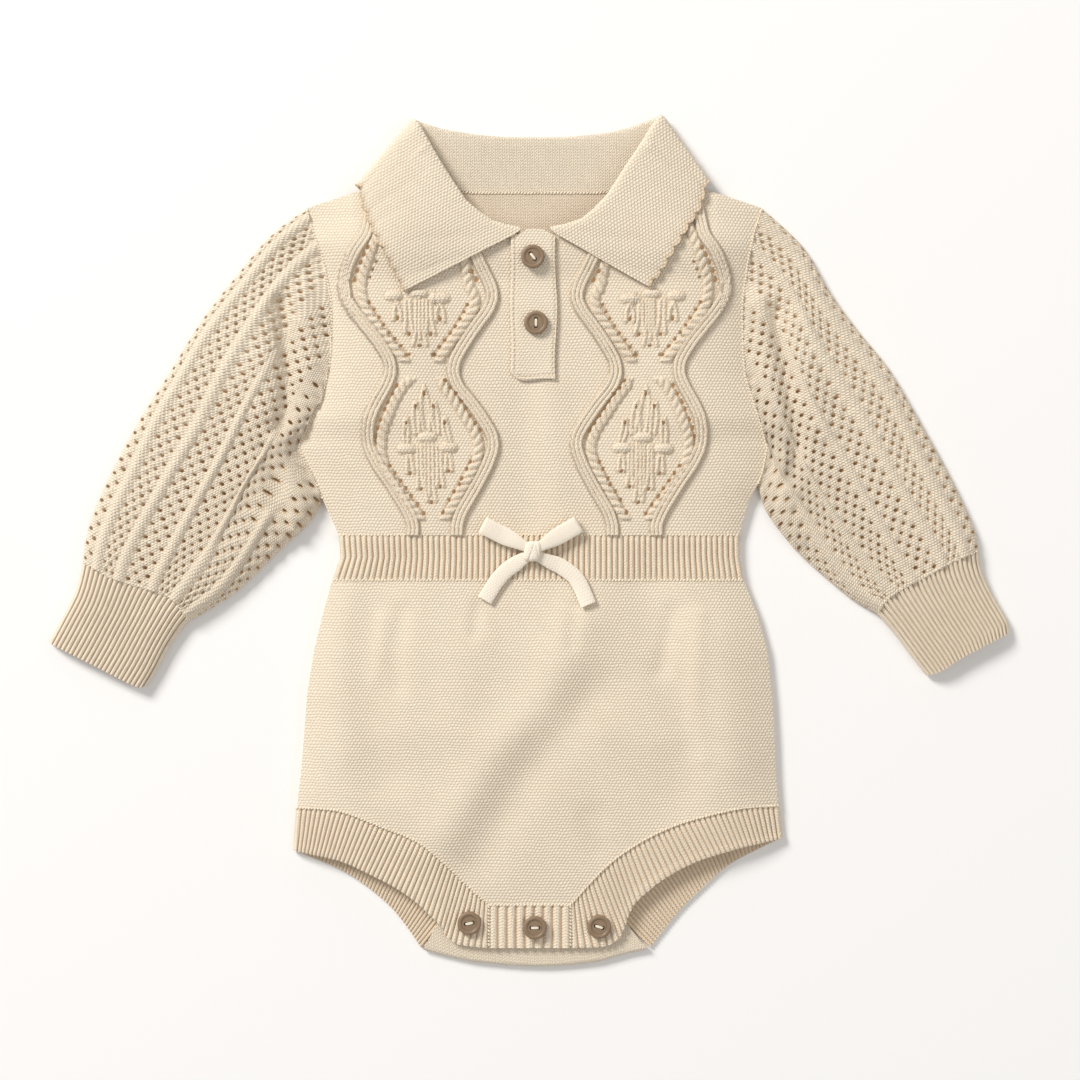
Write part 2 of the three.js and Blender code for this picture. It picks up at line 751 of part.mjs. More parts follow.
function cuff(side) {
  const { joinLine } = sleevePlan(side);
  const { cuffUpper, cuffLower, hem } = sleeves[side];
  const hemAt = stepped(rounded(hem, 12));
  const joinAt = stepped(joinLine);
  const start = (u) => {
    const [x, y] = joinAt(u);
    const [endX, endY] = hemAt(u);
    const length = Math.hypot(endX - x, endY - y);
    return [x + (0.4 * (endX - x)) / length, y + (0.4 * (endY - y)) / length];
  };
  const upper = rounded([start(0), ...cuffUpper.slice(1, -1), hemAt(0)], 8);
  const lower = rounded([start(1), ...cuffLower.slice(1, -1), hemAt(1)], 8);
  const plan = (u, v) => patch(start, hemAt, stepped(upper), stepped(lower), u, v);
  const top = (u, v) => 4 + (1 - Math.abs(2 * u - 1) ** 5) * mix(4.2, 2.6, v);
  const outerTop = (u, v) => {
    if (u === 0 || u === 1) {
      return tubeMiddle;
    }
    return top(u, v) + (Math.round(u * 36) % 2 === 1 ? ribRise : 0);
  };
  const steps = shares(12);
  const outer = tubeRings(shares(3), shares(36), steps.slice(1, 12), plan, outerTop, 0, 0);
  const inner = tubeRings(shares(2), steps.slice(1, 12), steps.slice(1, 12), plan,
    (u, v) => top(u, v) - 1.7, 1.6, 0);
  return clothWall(`cuff_${side}`, cream, outer, inner, true);
}

const stackMiddle = 4.1;     // middle height of the cloth stack at the shoulder's edge

function collar() {
  const leafTop = (x, y) => frontTop(x, y) + cableRise + 0.4 + collarWall / 2;
  const heights = collarStations.map(({ seam, turn }) => {
    const share = Math.cos((turn * Math.PI) / 180);
    const stand = share > 0 ? frontTop(...seam) - 0.9 - stackMiddle : 1;
    const leaf = share > 0 ? leafTop(...seam) - stackMiddle : stackMiddle - collarWall / 2;
    return { stand: stackMiddle + share * stand, leaf: stackMiddle + share * leaf };
  });
  const middle = collarStations.map(({ seam, fold, edge, turn }, k) => {
    const before = collarStations[Math.max(0, k - 1)].fold;
    const after = collarStations[Math.min(collarStations.length - 1, k + 1)].fold;
    const angle = (turn * Math.PI) / 180;
    const side = seam[0] < 0 ? -1 : 1;
    const outward = new THREE.Vector3(0.74 * side * Math.sin(angle), 0.67 * Math.sin(angle), Math.cos(angle));
    const drop = turn > 60 && turn < 120 ? -5 * -side : 0;
    const tangent = new THREE.Vector3(after[0] - before[0], after[1] - before[1], drop);
    const ahead = tangent.cross(outward).setZ(0).normalize();
    const { stand, leaf } = heights[k];
    const radius = mix(Math.abs(leaf - stand) / 2, 1.3, Math.sin(angle));
    const centre = new THREE.Vector3(fold[0], fold[1], (stand + leaf) / 2).addScaledVector(ahead, -radius);
    const around = (degrees) => {
      const turned = (degrees * Math.PI) / 180;
      return centre.clone()
        .addScaledVector(outward, -radius * Math.cos(turned))
        .addScaledVector(ahead, radius * Math.sin(turned));
    };
    const foot = new THREE.Vector3(seam[0], seam[1], stand);
    const edgeBed = angle < 1.5 ? leafTop(...edge) - stackMiddle : stackMiddle - collarWall / 2;
    const tip = new THREE.Vector3(edge[0], edge[1], stackMiddle + Math.cos(angle) * edgeBed);
    const leafAt = (t) => {
      const point = around(180).lerp(tip, t);
      if (turn === 0) {
        point.z = Math.max(point.z, leafTop(point.x, point.y));
      }
      return point;
    };
    return [
      foot,
      foot.clone().lerp(around(0), 0.55),
      around(15),
      around(60),
      around(105),
      around(150),
      leafAt(0.1),
      leafAt(0.32),
      leafAt(0.55),
      leafAt(0.78),
      tip,
    ];
  });
  return bentSheet('collar', cream, middle, collarWall);
}

function placketUnder() {
  const heights = [slotBottom + 0.4, 105, 121, 137, 152.8];
  const sheet = (level) => gridOf(heights, shares(4), (u, y) => {
    const x = mix(-slotHalf + 0.3, slotHalf - 0.3, u);
    return new THREE.Vector3(x, y, frontTop(x, y) + level);
  });
  return clothWall('placket_under', cream, sheet(-0.1), sheet(-1.7));
}

function placketTop() {
  const place = (u, v, level) => {
    const x = mix(-11.5, 9.5, u);
    const top = Math.min(155.8, 157.6 - 0.56 * Math.max(0, Math.abs(x) - 0.5));
    const bottom = 88 - 5.4 * smooth01(u * 2.2) * 0.5 - 0.8 * u;
    const y = mix(bottom, top, v);
    return new THREE.Vector3(x, y, frontTop(x, y) + level);
  };
  const sheet = (level) => gridOf(shares(10), shares(8), (u, v) => place(u, v, level));
  return clothWall('placket_top', cream, sheet(2.1), sheet(0.6));
}

// A leg rib from the front crotch round the side to the back crotch.
function legRib(side) {
  const left = side === 'left';
  const frontSeam = stepped(rounded(left ? frontLegLeft : frontLegRight, 10));
  const frontEdge = stepped(rounded(left ? frontEdgeLeft : frontEdgeRight, 20));
  const backSeam = stepped(rounded(left ? backLegLeft : backLegRight, 10));
  const backEdge = stepped(rounded(left ? backEdgeLeft : backEdgeRight, 20));
  const backHeight = ribWall / 2;
  const sideHeight = seamGap + wall + ribWall / 2;
  const radius = (sideHeight - backHeight) / 2;
  const inward = left ? 1 : -1;
  const lowered = (seam, edge) => {
    const length = Math.hypot(edge[0] - seam[0], edge[1] - seam[1]);
    return [seam[0] + (0.45 * (edge[0] - seam[0])) / length, seam[1] + (0.45 * (edge[1] - seam[1])) / length];
  };
  const rowsOf = (seam, edge, heightAt) => {
    const start = lowered(seam, edge);
    return [0, 0.5, 1].map((t) => {
      const [x, y] = [mix(start[0], edge[0], t), mix(start[1], edge[1], t)];
      return new THREE.Vector3(x, y, heightAt(x, y));
    });
  };
  const stations = [];
  for (const t of shares(60).reverse().slice(0, 60)) {
    stations.push(rowsOf(frontSeam(t), frontEdge(t), (x, y) => (
      Math.max(frontTop(x, y) - 1, sideHeight))));
  }
  for (const degrees of [35, 90, 145]) {
    const turned = (degrees * Math.PI) / 180;
    const shift = inward * radius * (1 - Math.sin(turned));
    const height = (sideHeight + backHeight) / 2 + radius * Math.cos(turned);
    const [seam, edge] = [frontSeam(0), frontEdge(0)];
    stations.push(rowsOf([seam[0] + shift, seam[1]], [edge[0] + shift, edge[1]], () => height));
  }
  for (const t of shares(20).slice(1)) {
    stations.push(rowsOf(backSeam(t), backEdge(t), () => backHeight));
  }
  const middle = [0, 1, 2].map((r) => stations.map((station) => station[r]));
  const ribs = (r, c) => (c < 60 && c % 2 === 1 ? ribRise * 0.9 : 0);
  const built = left ? middle.map((row) => [...row].reverse()) : middle;
  const ribsBuilt = left ? (r, c) => ribs(r, stations.length - 1 - c) : ribs;
  return bentSheet(`leg_rib_${side}`, cream, built, ribWall, ribsBuilt);
}

function crotchBand() {
  const heights = [-186.6, -176.5, -166.4];
  const place = (x, y, level) => new THREE.Vector3(x, y, frontTop(x, y) + level);
  const outer = heights.map((y) => shares(18).map((u, k) => (
    place(mix(-21.6, 16.6, u), y, k % 2 === 1 ? ribRise - 0.2 : -0.2))));
  const inner = gridOf(heights, shares(6), (u, y) => place(mix(-21.6, 16.6, u), y, -wall));
  return clothWall('crotch_band', cream, outer, inner);
}

// The back's button stand: a strip folded forward and up under the front band.
function crotchFlap() {
  const foldLine = stepped(rounded([
    [-53, -187.4], [-39.6, -190.9], [-26.9, -193.3], [1.8, -195.4], [28.8, -193.3], [43.2, -189.3], [53.2, -187.4],
  ], 14));
  const [low, high] = [ribWall / 2, 2.05 + ribWall / 2];
  const radius = (high - low) / 2;
  const middle = shares(14).map((u) => {
    const [x, y] = foldLine(u);
    const at = (across, along_, z) => new THREE.Vector3(across, along_, z);
    return [
      at(mix(-41.5, 39.5, u), -172.4, low),
      at(mix(mix(-41.5, 39.5, u), x, 0.6), mix(-172.4, y, 0.6), low),
      at(mix(mix(-41.5, 39.5, u), x, 0.92), mix(-172.4, y, 0.92), low),
      at(x, y + radius * 0.4, low + radius * 0.35),
      at(x, y, low + radius),
      at(x, y + radius * 0.4, high - radius * 0.35),
      at(x, y + radius * 1.4, high),
      at(mix(x, mix(-45.6, 41.8, u), 0.5), mix(y, -172.6, 0.5), high),
      at(mix(-45.6, 41.8, u), -172.6, high),
    ];
  });
  return bentSheet('crotch_flap', cream, middle, ribWall);
}

// Highest cloth under a button.
function restHeight(x, y, extra) {
  let height = 0;
  for (let k = 0; k < 12; k += 1) {
    const turned = (k / 12) * 2 * Math.PI;
    height = Math.max(height, frontTop(x + buttonRadius * Math.cos(turned), y + buttonRadius * Math.sin(turned)));
  }
  return height + extra;
}

function button(name, x, y, height, turn) {
  const outline = new THREE.Shape().absarc(0, 0, buttonRadius - 0.4, 0, 2 * Math.PI, false);
  for (const offset of [-1.7, 1.7]) {
    const hole = new THREE.Path();
    hole.absarc(offset * Math.cos(turn), offset * Math.sin(turn), 0.8, 0, 2 * Math.PI, true);
    outline.holes.push(hole);
  }
  const solid = new THREE.ExtrudeGeometry(outline, {
    depth: buttonHeight - 0.8,
    bevelEnabled: true,
    bevelThickness: 0.4,
    bevelSize: 0.4,
    bevelSegments: 1,
    curveSegments: 5,
  });
  const material = new THREE.MeshStandardMaterial({ color: hornBrown, roughness: 0.5 });
  const mesh = new THREE.Mesh(solid, material);
  mesh.name = name;
  mesh.position.set(x, y, height + 0.4);
  return mesh;
}

const tapeWidth = 6.8;
const tapeThick = 1.2;

function bowBed(x, y) {
  return frontTop(x, y) + ribRise + 0.4;
}

// A flat tape lying on the front along a line, as a single layer.
function tapeTail(name, line) {
  const path = rounded(line, 10);
  const place = (k, across, level) => {
    const before = path[Math.max(0, k - 1)];
    const after = path[Math.min(10, k + 1)];
    const [dx, dy] = [after[0] - before[0], after[1] - before[1]];
    const length = Math.hypot(dx, dy);
    const x = path[k][0] - (dy / length) * across * (tapeWidth / 2);
    const y = path[k][1] + (dx / length) * across * (tapeWidth / 2);
    return new THREE.Vector3(x, y, bowBed(x, y) + level);
  };
  const sheet = (level) => [-1, 0, 1].map((across) => path.map((_, k) => place(k, across, level)));
  return clothWall(name, paleCream, sheet(tapeThick), sheet(0));
}

// A tape loop: out from the knot below, round the end and back above.
function tapeLoop(name, start, end) {
  const [dx, dy] = [end[0] - start[0], end[1] - start[1]];
  const length = Math.hypot(dx, dy);
  const radius = 1;
  const flat = length - radius;
  const profile = [
    [0, -radius],
    [flat * 0.5, -radius],
    [flat, -radius],
    [flat + radius * 0.7, -radius * 0.7],
    [flat + radius, 0],
    [flat + radius * 0.7, radius * 0.7],
    [flat, radius],
    [flat * 0.5, radius * 1.3],
    [0, radius],
  ];
  const centre = Math.max(bowBed(...start), bowBed(...end)) + tapeThick / 2 + radius;
  const middle = [-1, 0, 1].map((across) => profile.map(([reach, level]) => new THREE.Vector3(
    start[0] + (dx / length) * reach - (dy / length) * across * (tapeWidth / 2),
    start[1] + (dy / length) * reach + (dx / length) * across * (tapeWidth / 2),
    centre + level)));
  return bentSheet(name, paleCream, middle, tapeThick);
}

function bowKnot() {
  const ball = new THREE.SphereGeometry(1, 14, 8);
  const positions = ball.getAttribute('position');
  const boxed = (value) => Math.sign(value) * Math.abs(value) ** 0.6;
  for (let k = 0; k < positions.count; k += 1) {
    positions.setXYZ(k, 4 * boxed(positions.getX(k)), -4.8 * boxed(positions.getZ(k)), 2.7 * boxed(positions.getY(k)));
  }
  const material = new THREE.MeshStandardMaterial({ color: paleCream, roughness: 0.9 });
  const mesh = new THREE.Mesh(ball, material);
  mesh.name = 'bow_knot';
  mesh.position.set(-1.2, 2.9, bowBed(-1.2, 2.9) + 2.7);
  return mesh;
}

const crotchRise = ribRise + 0.15;
const placketRise = 2.4;
const romper = new THREE.Group();
romper.add(
  bodiceFront(),
  bodiceBack(),
  sleeve('left'),
  sleeve('right'),
  cuff('left'),
  cuff('right'),
  collar(),
  placketUnder(),
  placketTop(),
  waistFront(),
  waistBack(),
  shortsFront(),
  shortsBack(),
  legRib('left'),
  legRib('right'),
  crotchBand(),
  crotchFlap(),
  button('button_neck_upper', -1, 142.6, restHeight(-1, 142.6, placketRise), -0.9),
  button('button_neck_lower', 0.5, 111.4, restHeight(0.5, 111.4, placketRise), 1.57),
  button('button_crotch_left', -31.3, -174.5, restHeight(-31.3, -174.5, crotchRise - 0.85), 0.2),
  button('button_crotch_middle', 0, -176.5, restHeight(0, -176.5, crotchRise), 0),
  button('button_crotch_right', 30.7, -176.2, restHeight(30.7, -176.2, crotchRise - 0.85), -0.3),
  bowKnot(),
  tapeLoop('bow_loop_left', [-5.7, 5.6], [-24.6, 15.2]),
  tapeLoop('bow_loop_right', [3.4, 5.2], [20.4, 15.6]),
  tapeTail('bow_tail_left', [[-6.4, -2.2], [-14, -6.2], [-18.7, -12], [-24, -20.4]]),
  tapeTail('bow_tail_right', [[4.4, -1.9], [13, -5], [20.2, -11], [25.4, -22.6]]),
);

export default romper;
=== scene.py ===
import math

import bpy
import numpy as np
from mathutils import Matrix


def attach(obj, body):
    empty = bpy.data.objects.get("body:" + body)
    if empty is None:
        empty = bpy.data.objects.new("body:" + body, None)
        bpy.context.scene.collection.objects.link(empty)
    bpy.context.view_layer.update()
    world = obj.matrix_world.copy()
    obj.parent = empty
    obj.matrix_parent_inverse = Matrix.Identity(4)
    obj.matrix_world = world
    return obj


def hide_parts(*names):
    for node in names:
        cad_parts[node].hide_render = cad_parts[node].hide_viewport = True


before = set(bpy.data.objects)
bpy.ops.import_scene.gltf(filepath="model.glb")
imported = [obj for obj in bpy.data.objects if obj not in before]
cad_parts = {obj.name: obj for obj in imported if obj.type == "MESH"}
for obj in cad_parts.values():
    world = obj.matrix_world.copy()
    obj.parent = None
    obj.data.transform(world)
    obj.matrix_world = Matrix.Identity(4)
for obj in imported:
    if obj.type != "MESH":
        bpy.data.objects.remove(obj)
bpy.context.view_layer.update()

mm = 0.001  # sizes below are in millimetres, meshes in metres

# camera, floor, light
cameraRig = {"x": 2.4, "y": 8.2, "height": 1224, "lens": 85, "sensor": 36}
floorSpec = {"half": 3000, "colour": (0.935, 0.925, 0.915)}
lightSpec = {
    "key": {"place": (-2500, 2500, 2500), "size": 1500, "power": 172, "colour": (1.0, 0.98, 0.95)},
    "fill": {"place": (2600, -700, 3000), "size": 3000, "power": 26, "colour": (1.0, 0.985, 0.96)},
    "sky": {"strength": 0.44, "colour": (1.0, 0.99, 0.98)},
}


def addCamera():
    data = bpy.data.cameras.new("camera")
    data.lens = cameraRig["lens"]
    data.sensor_width = cameraRig["sensor"]
    data.clip_start = 0.05
    camera = bpy.data.objects.new("camera", data)
    camera.location = (cameraRig["x"] * mm, cameraRig["y"] * mm, cameraRig["height"] * mm)
    bpy.context.collection.objects.link(camera)
    bpy.context.scene.camera = camera


def addLight(name, spec):
    data = bpy.data.lights.new(name, "AREA")
    data.shape = "DISK"
    data.size = spec["size"] * mm
    data.energy = spec["power"]
    data.color = spec["colour"]
    lamp = bpy.data.objects.new(name, data)
    x, y, z = (value * mm for value in spec["place"])
    lamp.location = (x, y, z)
    lamp.rotation_euler = (math.atan2(math.hypot(x, y), z), 0, math.atan2(y, x) + math.pi / 2)
    bpy.context.collection.objects.link(lamp)


def addFloor():
    half = floorSpec["half"] * mm
    mesh = bpy.data.meshes.new("floor")
    corners = [(-half, -half, 0), (half, -half, 0), (half, half, 0), (-half, half, 0)]
    mesh.from_pydata(corners, [], [(0, 1, 2, 3)])
    paint = bpy.data.materials.new("floorPaint")
    paint.use_nodes = True
    shader = paint.node_tree.nodes["Principled BSDF"]
    shader.inputs["Base Color"].default_value = (*floorSpec["colour"], 1)
    shader.inputs["Roughness"].default_value = 0.95
    shader.inputs["Specular IOR Level"].default_value = 0.1
    mesh.materials.append(paint)
    floor = bpy.data.objects.new("floor", mesh)
    floor.location = (0, 0, -0.0002)
    bpy.context.collection.objects.link(floor)


addCamera()
addFloor()
addLight("keyLight", lightSpec["key"])
addLight("fillLight", lightSpec["fill"])
world = bpy.data.worlds.new("studio")
bpy.context.scene.world = world
world.use_nodes = True
world.node_tree.nodes["Background"].inputs[0].default_value = (*lightSpec["sky"]["colour"], 1)
world.node_tree.nodes["Background"].inputs[1].default_value = lightSpec["sky"]["strength"]
bpy.context.scene.view_settings.view_transform = "Standard"
print("stage: camera, floor and light")

# named sizes, as in the part's source
wall = 1.8
ribWall = 1.6
collarWall = 1.5
seamGap = 0.3
waistTop = 10.6
waistBottom = -11
cableRise = 1.3
ribRise = 0.7
collarLift = 2.2
slotHalf = 10.4
slotBottom = 90.1
tubeMiddle = 1.9
stackMiddle = 4.1
shoulderX, shoulderY = 109, 167

bodyEdge = [
    [-119, -113.8, 116.4], [-103.2, -112, 115.2], [-84, -110.4, 114.5], [-65.3, -109, 113.3],
    [-44.6, -105.7, 111.1], [-28.3, -101.8, 106.6], [-11, -97, 99.8], [0, -93.1, 97.9],
    [10.6, -94, 97.7], [17.8, -97, 99.6], [27.4, -101.5, 102.5], [34.6, -104.2, 106.6],
    [40.8, -107, 109], [52.3, -113.3, 111.2], [59, -110.3, 109.3], [66.2, -107, 107.1],
    [74.4, -101.8, 104.4], [86.9, -98.9, 100.4], [97.9, -97.4, 99.4], [112.6, -97, 99.1],
    [123.6, -97.4, 99.3], [142.1, -101, 101.9], [154.6, -105.6, 104.6], [167, -109, 108.8],
]
cableLines = [
    [7.7, 58.6, 37], [14.9, 57.6, 37.2], [21.1, 60, 35.4], [28.3, 64.3, 31.1], [36, 69.1, 26.7],
    [43.7, 74.6, 22.7], [51.8, 78.7, 19.7], [57.8, 79.7, 20], [65.8, 78.9, 24.8], [73, 75.8, 29.8],
    [81.1, 71, 36.6], [88, 68.2, 39.2], [94.1, 69.1, 38], [102.7, 74.4, 33], [110.4, 80.6, 27.8],
    [117.6, 86.4, 22.3], [123.8, 90.2, 19.7], [129.6, 91.2, 21], [137.3, 89.8, 25],
    [145.7, 85.9, 29], [153.6, 80.2, 31.8], [185, 74, 34],
]
neckSeam = [
    [10.4, 153.6], [19.7, 155.2], [27.4, 157], [35.5, 160.8], [42.7, 166.1], [47.5, 172.8],
    [49.9, 178.1], [51.4, 184.8],
]
backSeam = [[0, 174.2], [30, 174.2], [38, 175], [45, 178], [49.5, 182], [51.4, 184.5]]
frontLeg = {
    "left": [[-113.8, -120], [-93.7, -121], [-74.6, -128], [-55.7, -135.8], [-42.8, -146.3],
             [-33.3, -155.9], [-22, -166]],
    "right": [[116.4, -119], [97.3, -120], [76.6, -124.8], [60.7, -130.4], [44.8, -139.2],
              [32, -149.5], [17, -166]],
}
frontEdge = {
    "left": [[-115.2, -140.6], [-93.7, -144.7], [-81.1, -150.2], [-68.3, -156.7], [-58.7, -163.1],
             [-50.9, -170.2], [-44.4, -176.5], [-39.6, -184], [-22.4, -186.6]],
    "right": [[118, -134.6], [106.8, -136.8], [90.9, -140.6], [76.6, -145.4], [63.8, -151.9],
              [54.3, -159.1], [46.4, -167], [38.4, -184], [17.4, -186.6]],
}
backLeg = {
    "left": [[-113.8, -120], [-98, -124.5], [-82, -132.5], [-67, -144], [-55, -156.5], [-42, -172]],
    "right": [[116.4, -119], [98, -123.5], [82, -131.5], [68, -142.5], [55, -156], [40, -172]],
}
backEdge = {
    "left": [[-115.2, -140.6], [-93.7, -149.5], [-81.1, -157.4], [-69.8, -167], [-61.9, -176.5],
             [-54.6, -187.2]],
    "right": [[118, -134.6], [106.8, -140], [92.5, -147.8], [79.7, -159.1], [68.6, -170.2],
              [55, -187.2]],
}
folds = [
    (-2.2, 13, [[-76, -14], [-80, -41], [-81.6, -65], [-79, -88], [-72, -104]]),
    (1.4, 11, [[-94, -25], [-93, -60], [-90, -90]]),
    (2.6, 13, [[20, -32], [5, -73], [-19, -94], [-33, -118], [-42, -132]]),
    (-2.0, 12, [[26, -66], [5, -87], [-8, -109], [-22, -130], [-26, -142]]),
    (-2.4, 14, [[54, -14], [58, -38], [66, -65], [75, -87], [68, -112]]),
    (-1.2, 14, [[40, -60], [46, -82], [52, -100]]),
    (1.6, 13, [[89, -38], [95, -68], [97, -97]]),
    (-0.9, 7, [[27, -124], [30, -138]]),
    (1.0, 12, [[-30, -40], [-36, -80]]),
    (-0.9, 9, [[-4, 84], [-6, 50], [-3, 18]]),
    (0.8, 9, [[8, 80], [10, 45], [12, 18]]),
]
puffRows = [
    [-190, 2.6], [-166, 3.4], [-140, 5.2], [-115, 6.6], [-84, 7.6], [-45, 6.8], [-11, 4.8],
    [0, 4.4], [10.6, 4.8], [40, 5.2], [120, 5.8], [165, 5.2],
]
sleeves = {
    "left": {
        "seamHeights": [167, 154.6, 142.1, 123.6, 112.6, 97.9, 86.9, 74.4, 66.2, 52.3, 40.8, 34.6, 27.4],
        "upper": [[-109, 167], [-126, 154.6], [-140.6, 137.8], [-159.1, 114.2], [-175.2, 88.3],
                  [-190.6, 63.8], [-206.5, 33.1], [-214.5, 12], [-216.5, -1.9]],
        "lower": [[-101.5, 27.4], [-104.6, 21.4], [-109.9, 14.4], [-122.4, 2.9], [-140.2, -14.2],
                  [-152.4, -23], [-165.6, -30.7]],
        "join": [[-216.5, -1.9], [-208, -6.8], [-199.4, -11], [-181.9, -16.3], [-172.3, -20.6],
                 [-165.6, -30.7]],
        "cuffUpper": [[-216.7, -2.2], [-219.8, -15.8], [-226.1, -28.3], [-232.8, -40.8]],
        "cuffLower": [[-166, -31], [-168.8, -34], [-175.4, -43.4], [-181, -54], [-186, -61.8]],
        "hem": [[-232.8, -40.8], [-211.2, -51.6], [-189.6, -62.4], [-186, -61.8]],
    },
    "right": {
        "seamHeights": [167, 154.6, 142.1, 123.6, 112.6, 97.9, 86.9, 74.4, 66.2, 59, 52.3, 40.8, 34.6],
        "upper": [[108.8, 167], [128.6, 148.5], [141.4, 126.7], [155.5, 107.5], [168.5, 91.7],
                  [181, 71], [200.2, 36], [211.2, 12], [212.6, 3.2]],
        "lower": [[106.6, 34.6], [108.4, 28.2], [110.9, 21.6], [117.6, 12], [127.2, 1],
                  [139.7, -10.1], [152.6, -20.6], [163.7, -27]],
        "join": [[212.6, 3.2], [200.2, -1.9], [187.7, -8.6], [175.7, -14.9], [168, -20.4],
                 [163.7, -27]],
        "cuffUpper": [[212.8, 2.9], [213.9, -6], [219.4, -18.2], [226.6, -30.7], [227.4, -36]],
        "cuffLower": [[164, -27.3], [171.6, -36], [181, -48.5], [187.4, -56.6]],
        "hem": [[227.4, -36], [216, -41.8], [203.5, -48.5], [193.9, -54.7], [187.4, -56.6]],
    },
}
# collar: seam x y, fold x y, outer edge x y, turn of the outward side
collarStations = [
    [-7.9, 153.6, -6.9, 156.2, -62.9, 126.2, 0], [-13.9, 154.6, -13.6, 157.6, -65.3, 130.6, 0],
    [-19.7, 156, -19.7, 159.4, -67.4, 135.4, 0], [-27.4, 157.8, -26.4, 163.7, -71.6, 143.6, 0],
    [-35, 161.5, -33.1, 169.4, -75.4, 150.4, 0], [-42, 166.7, -39, 178.1, -78.4, 156.6, 0],
    [-46.8, 173.2, -45.1, 187.7, -80.9, 162.8, 0], [-49, 178.4, -50.4, 197, -82.8, 168.4, 0],
    [-49.8, 182.4, -55, 205.6, -83.6, 174.4, 12], [-50.2, 184.6, -56.7, 208.1, -84.8, 176.8, 45],
    [-50.5, 184.9, -57.2, 208.6, -85.4, 177.4, 90], [-50.1, 184.7, -56.5, 208.3, -84.8, 176.8, 135],
    [-48.9, 182.9, -54, 207.4, -82.4, 174.4, 168], [-45, 178.9, -45.2, 204.6, -76.8, 163.4, 180],
    [-38, 175.6, -36.4, 203, -64, 156.8, 180], [-29, 174.5, -27.6, 201.6, -46, 153.2, 180],
    [-15, 174.5, -14.8, 200.6, -22, 151.8, 180], [0, 174.5, 0, 200.4, 0, 151.4, 180],
    [15, 174.5, 14.8, 200.6, 22, 151.8, 180], [29, 174.5, 27.8, 201.6, 46, 153.2, 180],
    [38, 175.6, 37, 203, 64, 157, 180], [45, 178.9, 46.4, 205.4, 76.4, 164.4, 180],
    [48.9, 182.9, 56.2, 209, 80.6, 176.6, 168], [50.1, 184.7, 58.8, 210, 82.7, 178.9, 135],
    [50.5, 184.9, 59.5, 210.4, 83.4, 179.4, 90], [50.2, 184.6, 59, 209.8, 82.7, 178.9, 45],
    [49.8, 182.4, 57.2, 207.4, 81.4, 176.4, 12], [49, 178.4, 52.2, 199, 80, 169.6, 0],
    [46.8, 173.2, 46.6, 190.6, 78, 164, 0], [42, 166.7, 40.4, 181, 74.2, 158.4, 0],
    [35, 161.5, 34.6, 172, 70.3, 152, 0], [27.4, 157.8, 28.6, 165.6, 66, 145, 0],
    [20.4, 156, 22.6, 160.6, 62, 138.2, 0], [14.6, 154.6, 15.2, 158, 58, 132.4, 0],
    [9, 153.6, 7.4, 156.4, 54.2, 128.4, 0],
]


# plan and height of the cloth
def mix(a, b, t):
    return a + (b - a) * t


def clip01(t):
    return np.clip(t, 0.0, 1.0)


def smooth01(t):
    s = clip01(t)
    return s * s * (3 - 2 * s)


def column(table, y, index):
    rows = np.asarray(table, float)
    return np.interp(y, rows[:, 0], rows[:, index])


def distanceToLine(x, y, line):
    best = np.full(np.shape(x), 1e9)
    for (ax, ay), (bx, by) in zip(line[:-1], line[1:]):
        dx, dy = bx - ax, by - ay
        t = clip01(((x - ax) * dx + (y - ay) * dy) / (dx * dx + dy * dy))
        best = np.minimum(best, np.hypot(x - ax - dx * t, y - ay - dy * t))
    return best


def rounded(line, count):
    points = np.asarray(line, float)
    last = len(points) - 1
    place = last * np.linspace(0, 1, 40 * last + 1)
    k = np.minimum(np.floor(place).astype(int), last - 1)
    w = (place - k)[:, None]
    p0, p1 = points[np.maximum(k - 1, 0)], points[k]
    p2, p3 = points[k + 1], points[np.minimum(k + 2, last)]
    v0, v1 = (p2 - p0) / 2, (p3 - p1) / 2
    curve = (2 * p1 - 2 * p2 + v0 + v1) * w**3 + (-3 * p1 + 3 * p2 - 2 * v0 - v1) * w**2 + v0 * w + p1
    run = np.r_[0, np.cumsum(np.hypot(*np.diff(curve, axis=0).T))]
    even = np.linspace(0, run[-1], count + 1)
    return np.c_[np.interp(even, run, curve[:, 0]), np.interp(even, run, curve[:, 1])]


def stepped(line, t):
    points = np.asarray(line, float)
    corners = np.linspace(0, 1, len(points))
    return np.stack([np.interp(t, corners, points[:, 0]), np.interp(t, corners, points[:, 1])], axis=-1)


def patch(first, last, lower, upper, u, v):
    # plan point between two end lines and two side lines
    uu, vv = u[..., None], v[..., None]
    p, q, r, s = (np.asarray(corner, float) for corner in (first[0], first[-1], last[0], last[-1]))
    return (
        mix(stepped(first, u), stepped(last, u), vv) + mix(stepped(lower, v), stepped(upper, v), uu)
        - mix(mix(p, q, uu), mix(r, s, uu), vv)
    )


def backLift(x, y):
    return collarLift * smooth01((y - 130) / 18) * clip01((shoulderX - np.abs(x)) / 22)


def frontTop(x, y):
    left, right = column(bodyEdge, y, 1), column(bodyEdge, y, 2)
    across = np.abs(x - (left + right) / 2) / ((right - left) / 2)
    sides = 1 - np.minimum(1, across) ** 7
    toShoulder = distanceToLine(np.abs(x), y, [[51.4, 184.8], [shoulderX, shoulderY]])
    shoulder = 1 - np.exp(-toShoulder / 12)
    armhole = 2 * smooth01((y - 54) / 14) * (1 - smooth01((y - 148) / 16)) * smooth01((across - 0.3) / 0.5)
    height = seamGap + 2 * wall + 1.1 * backLift(x, y) + armhole
    height = height + column(puffRows, y, 1) * sides * shoulder
    for rise, width, line in folds:
        height = height + rise * sides * np.exp(-((distanceToLine(x, y, line) / width) ** 2))
    return height


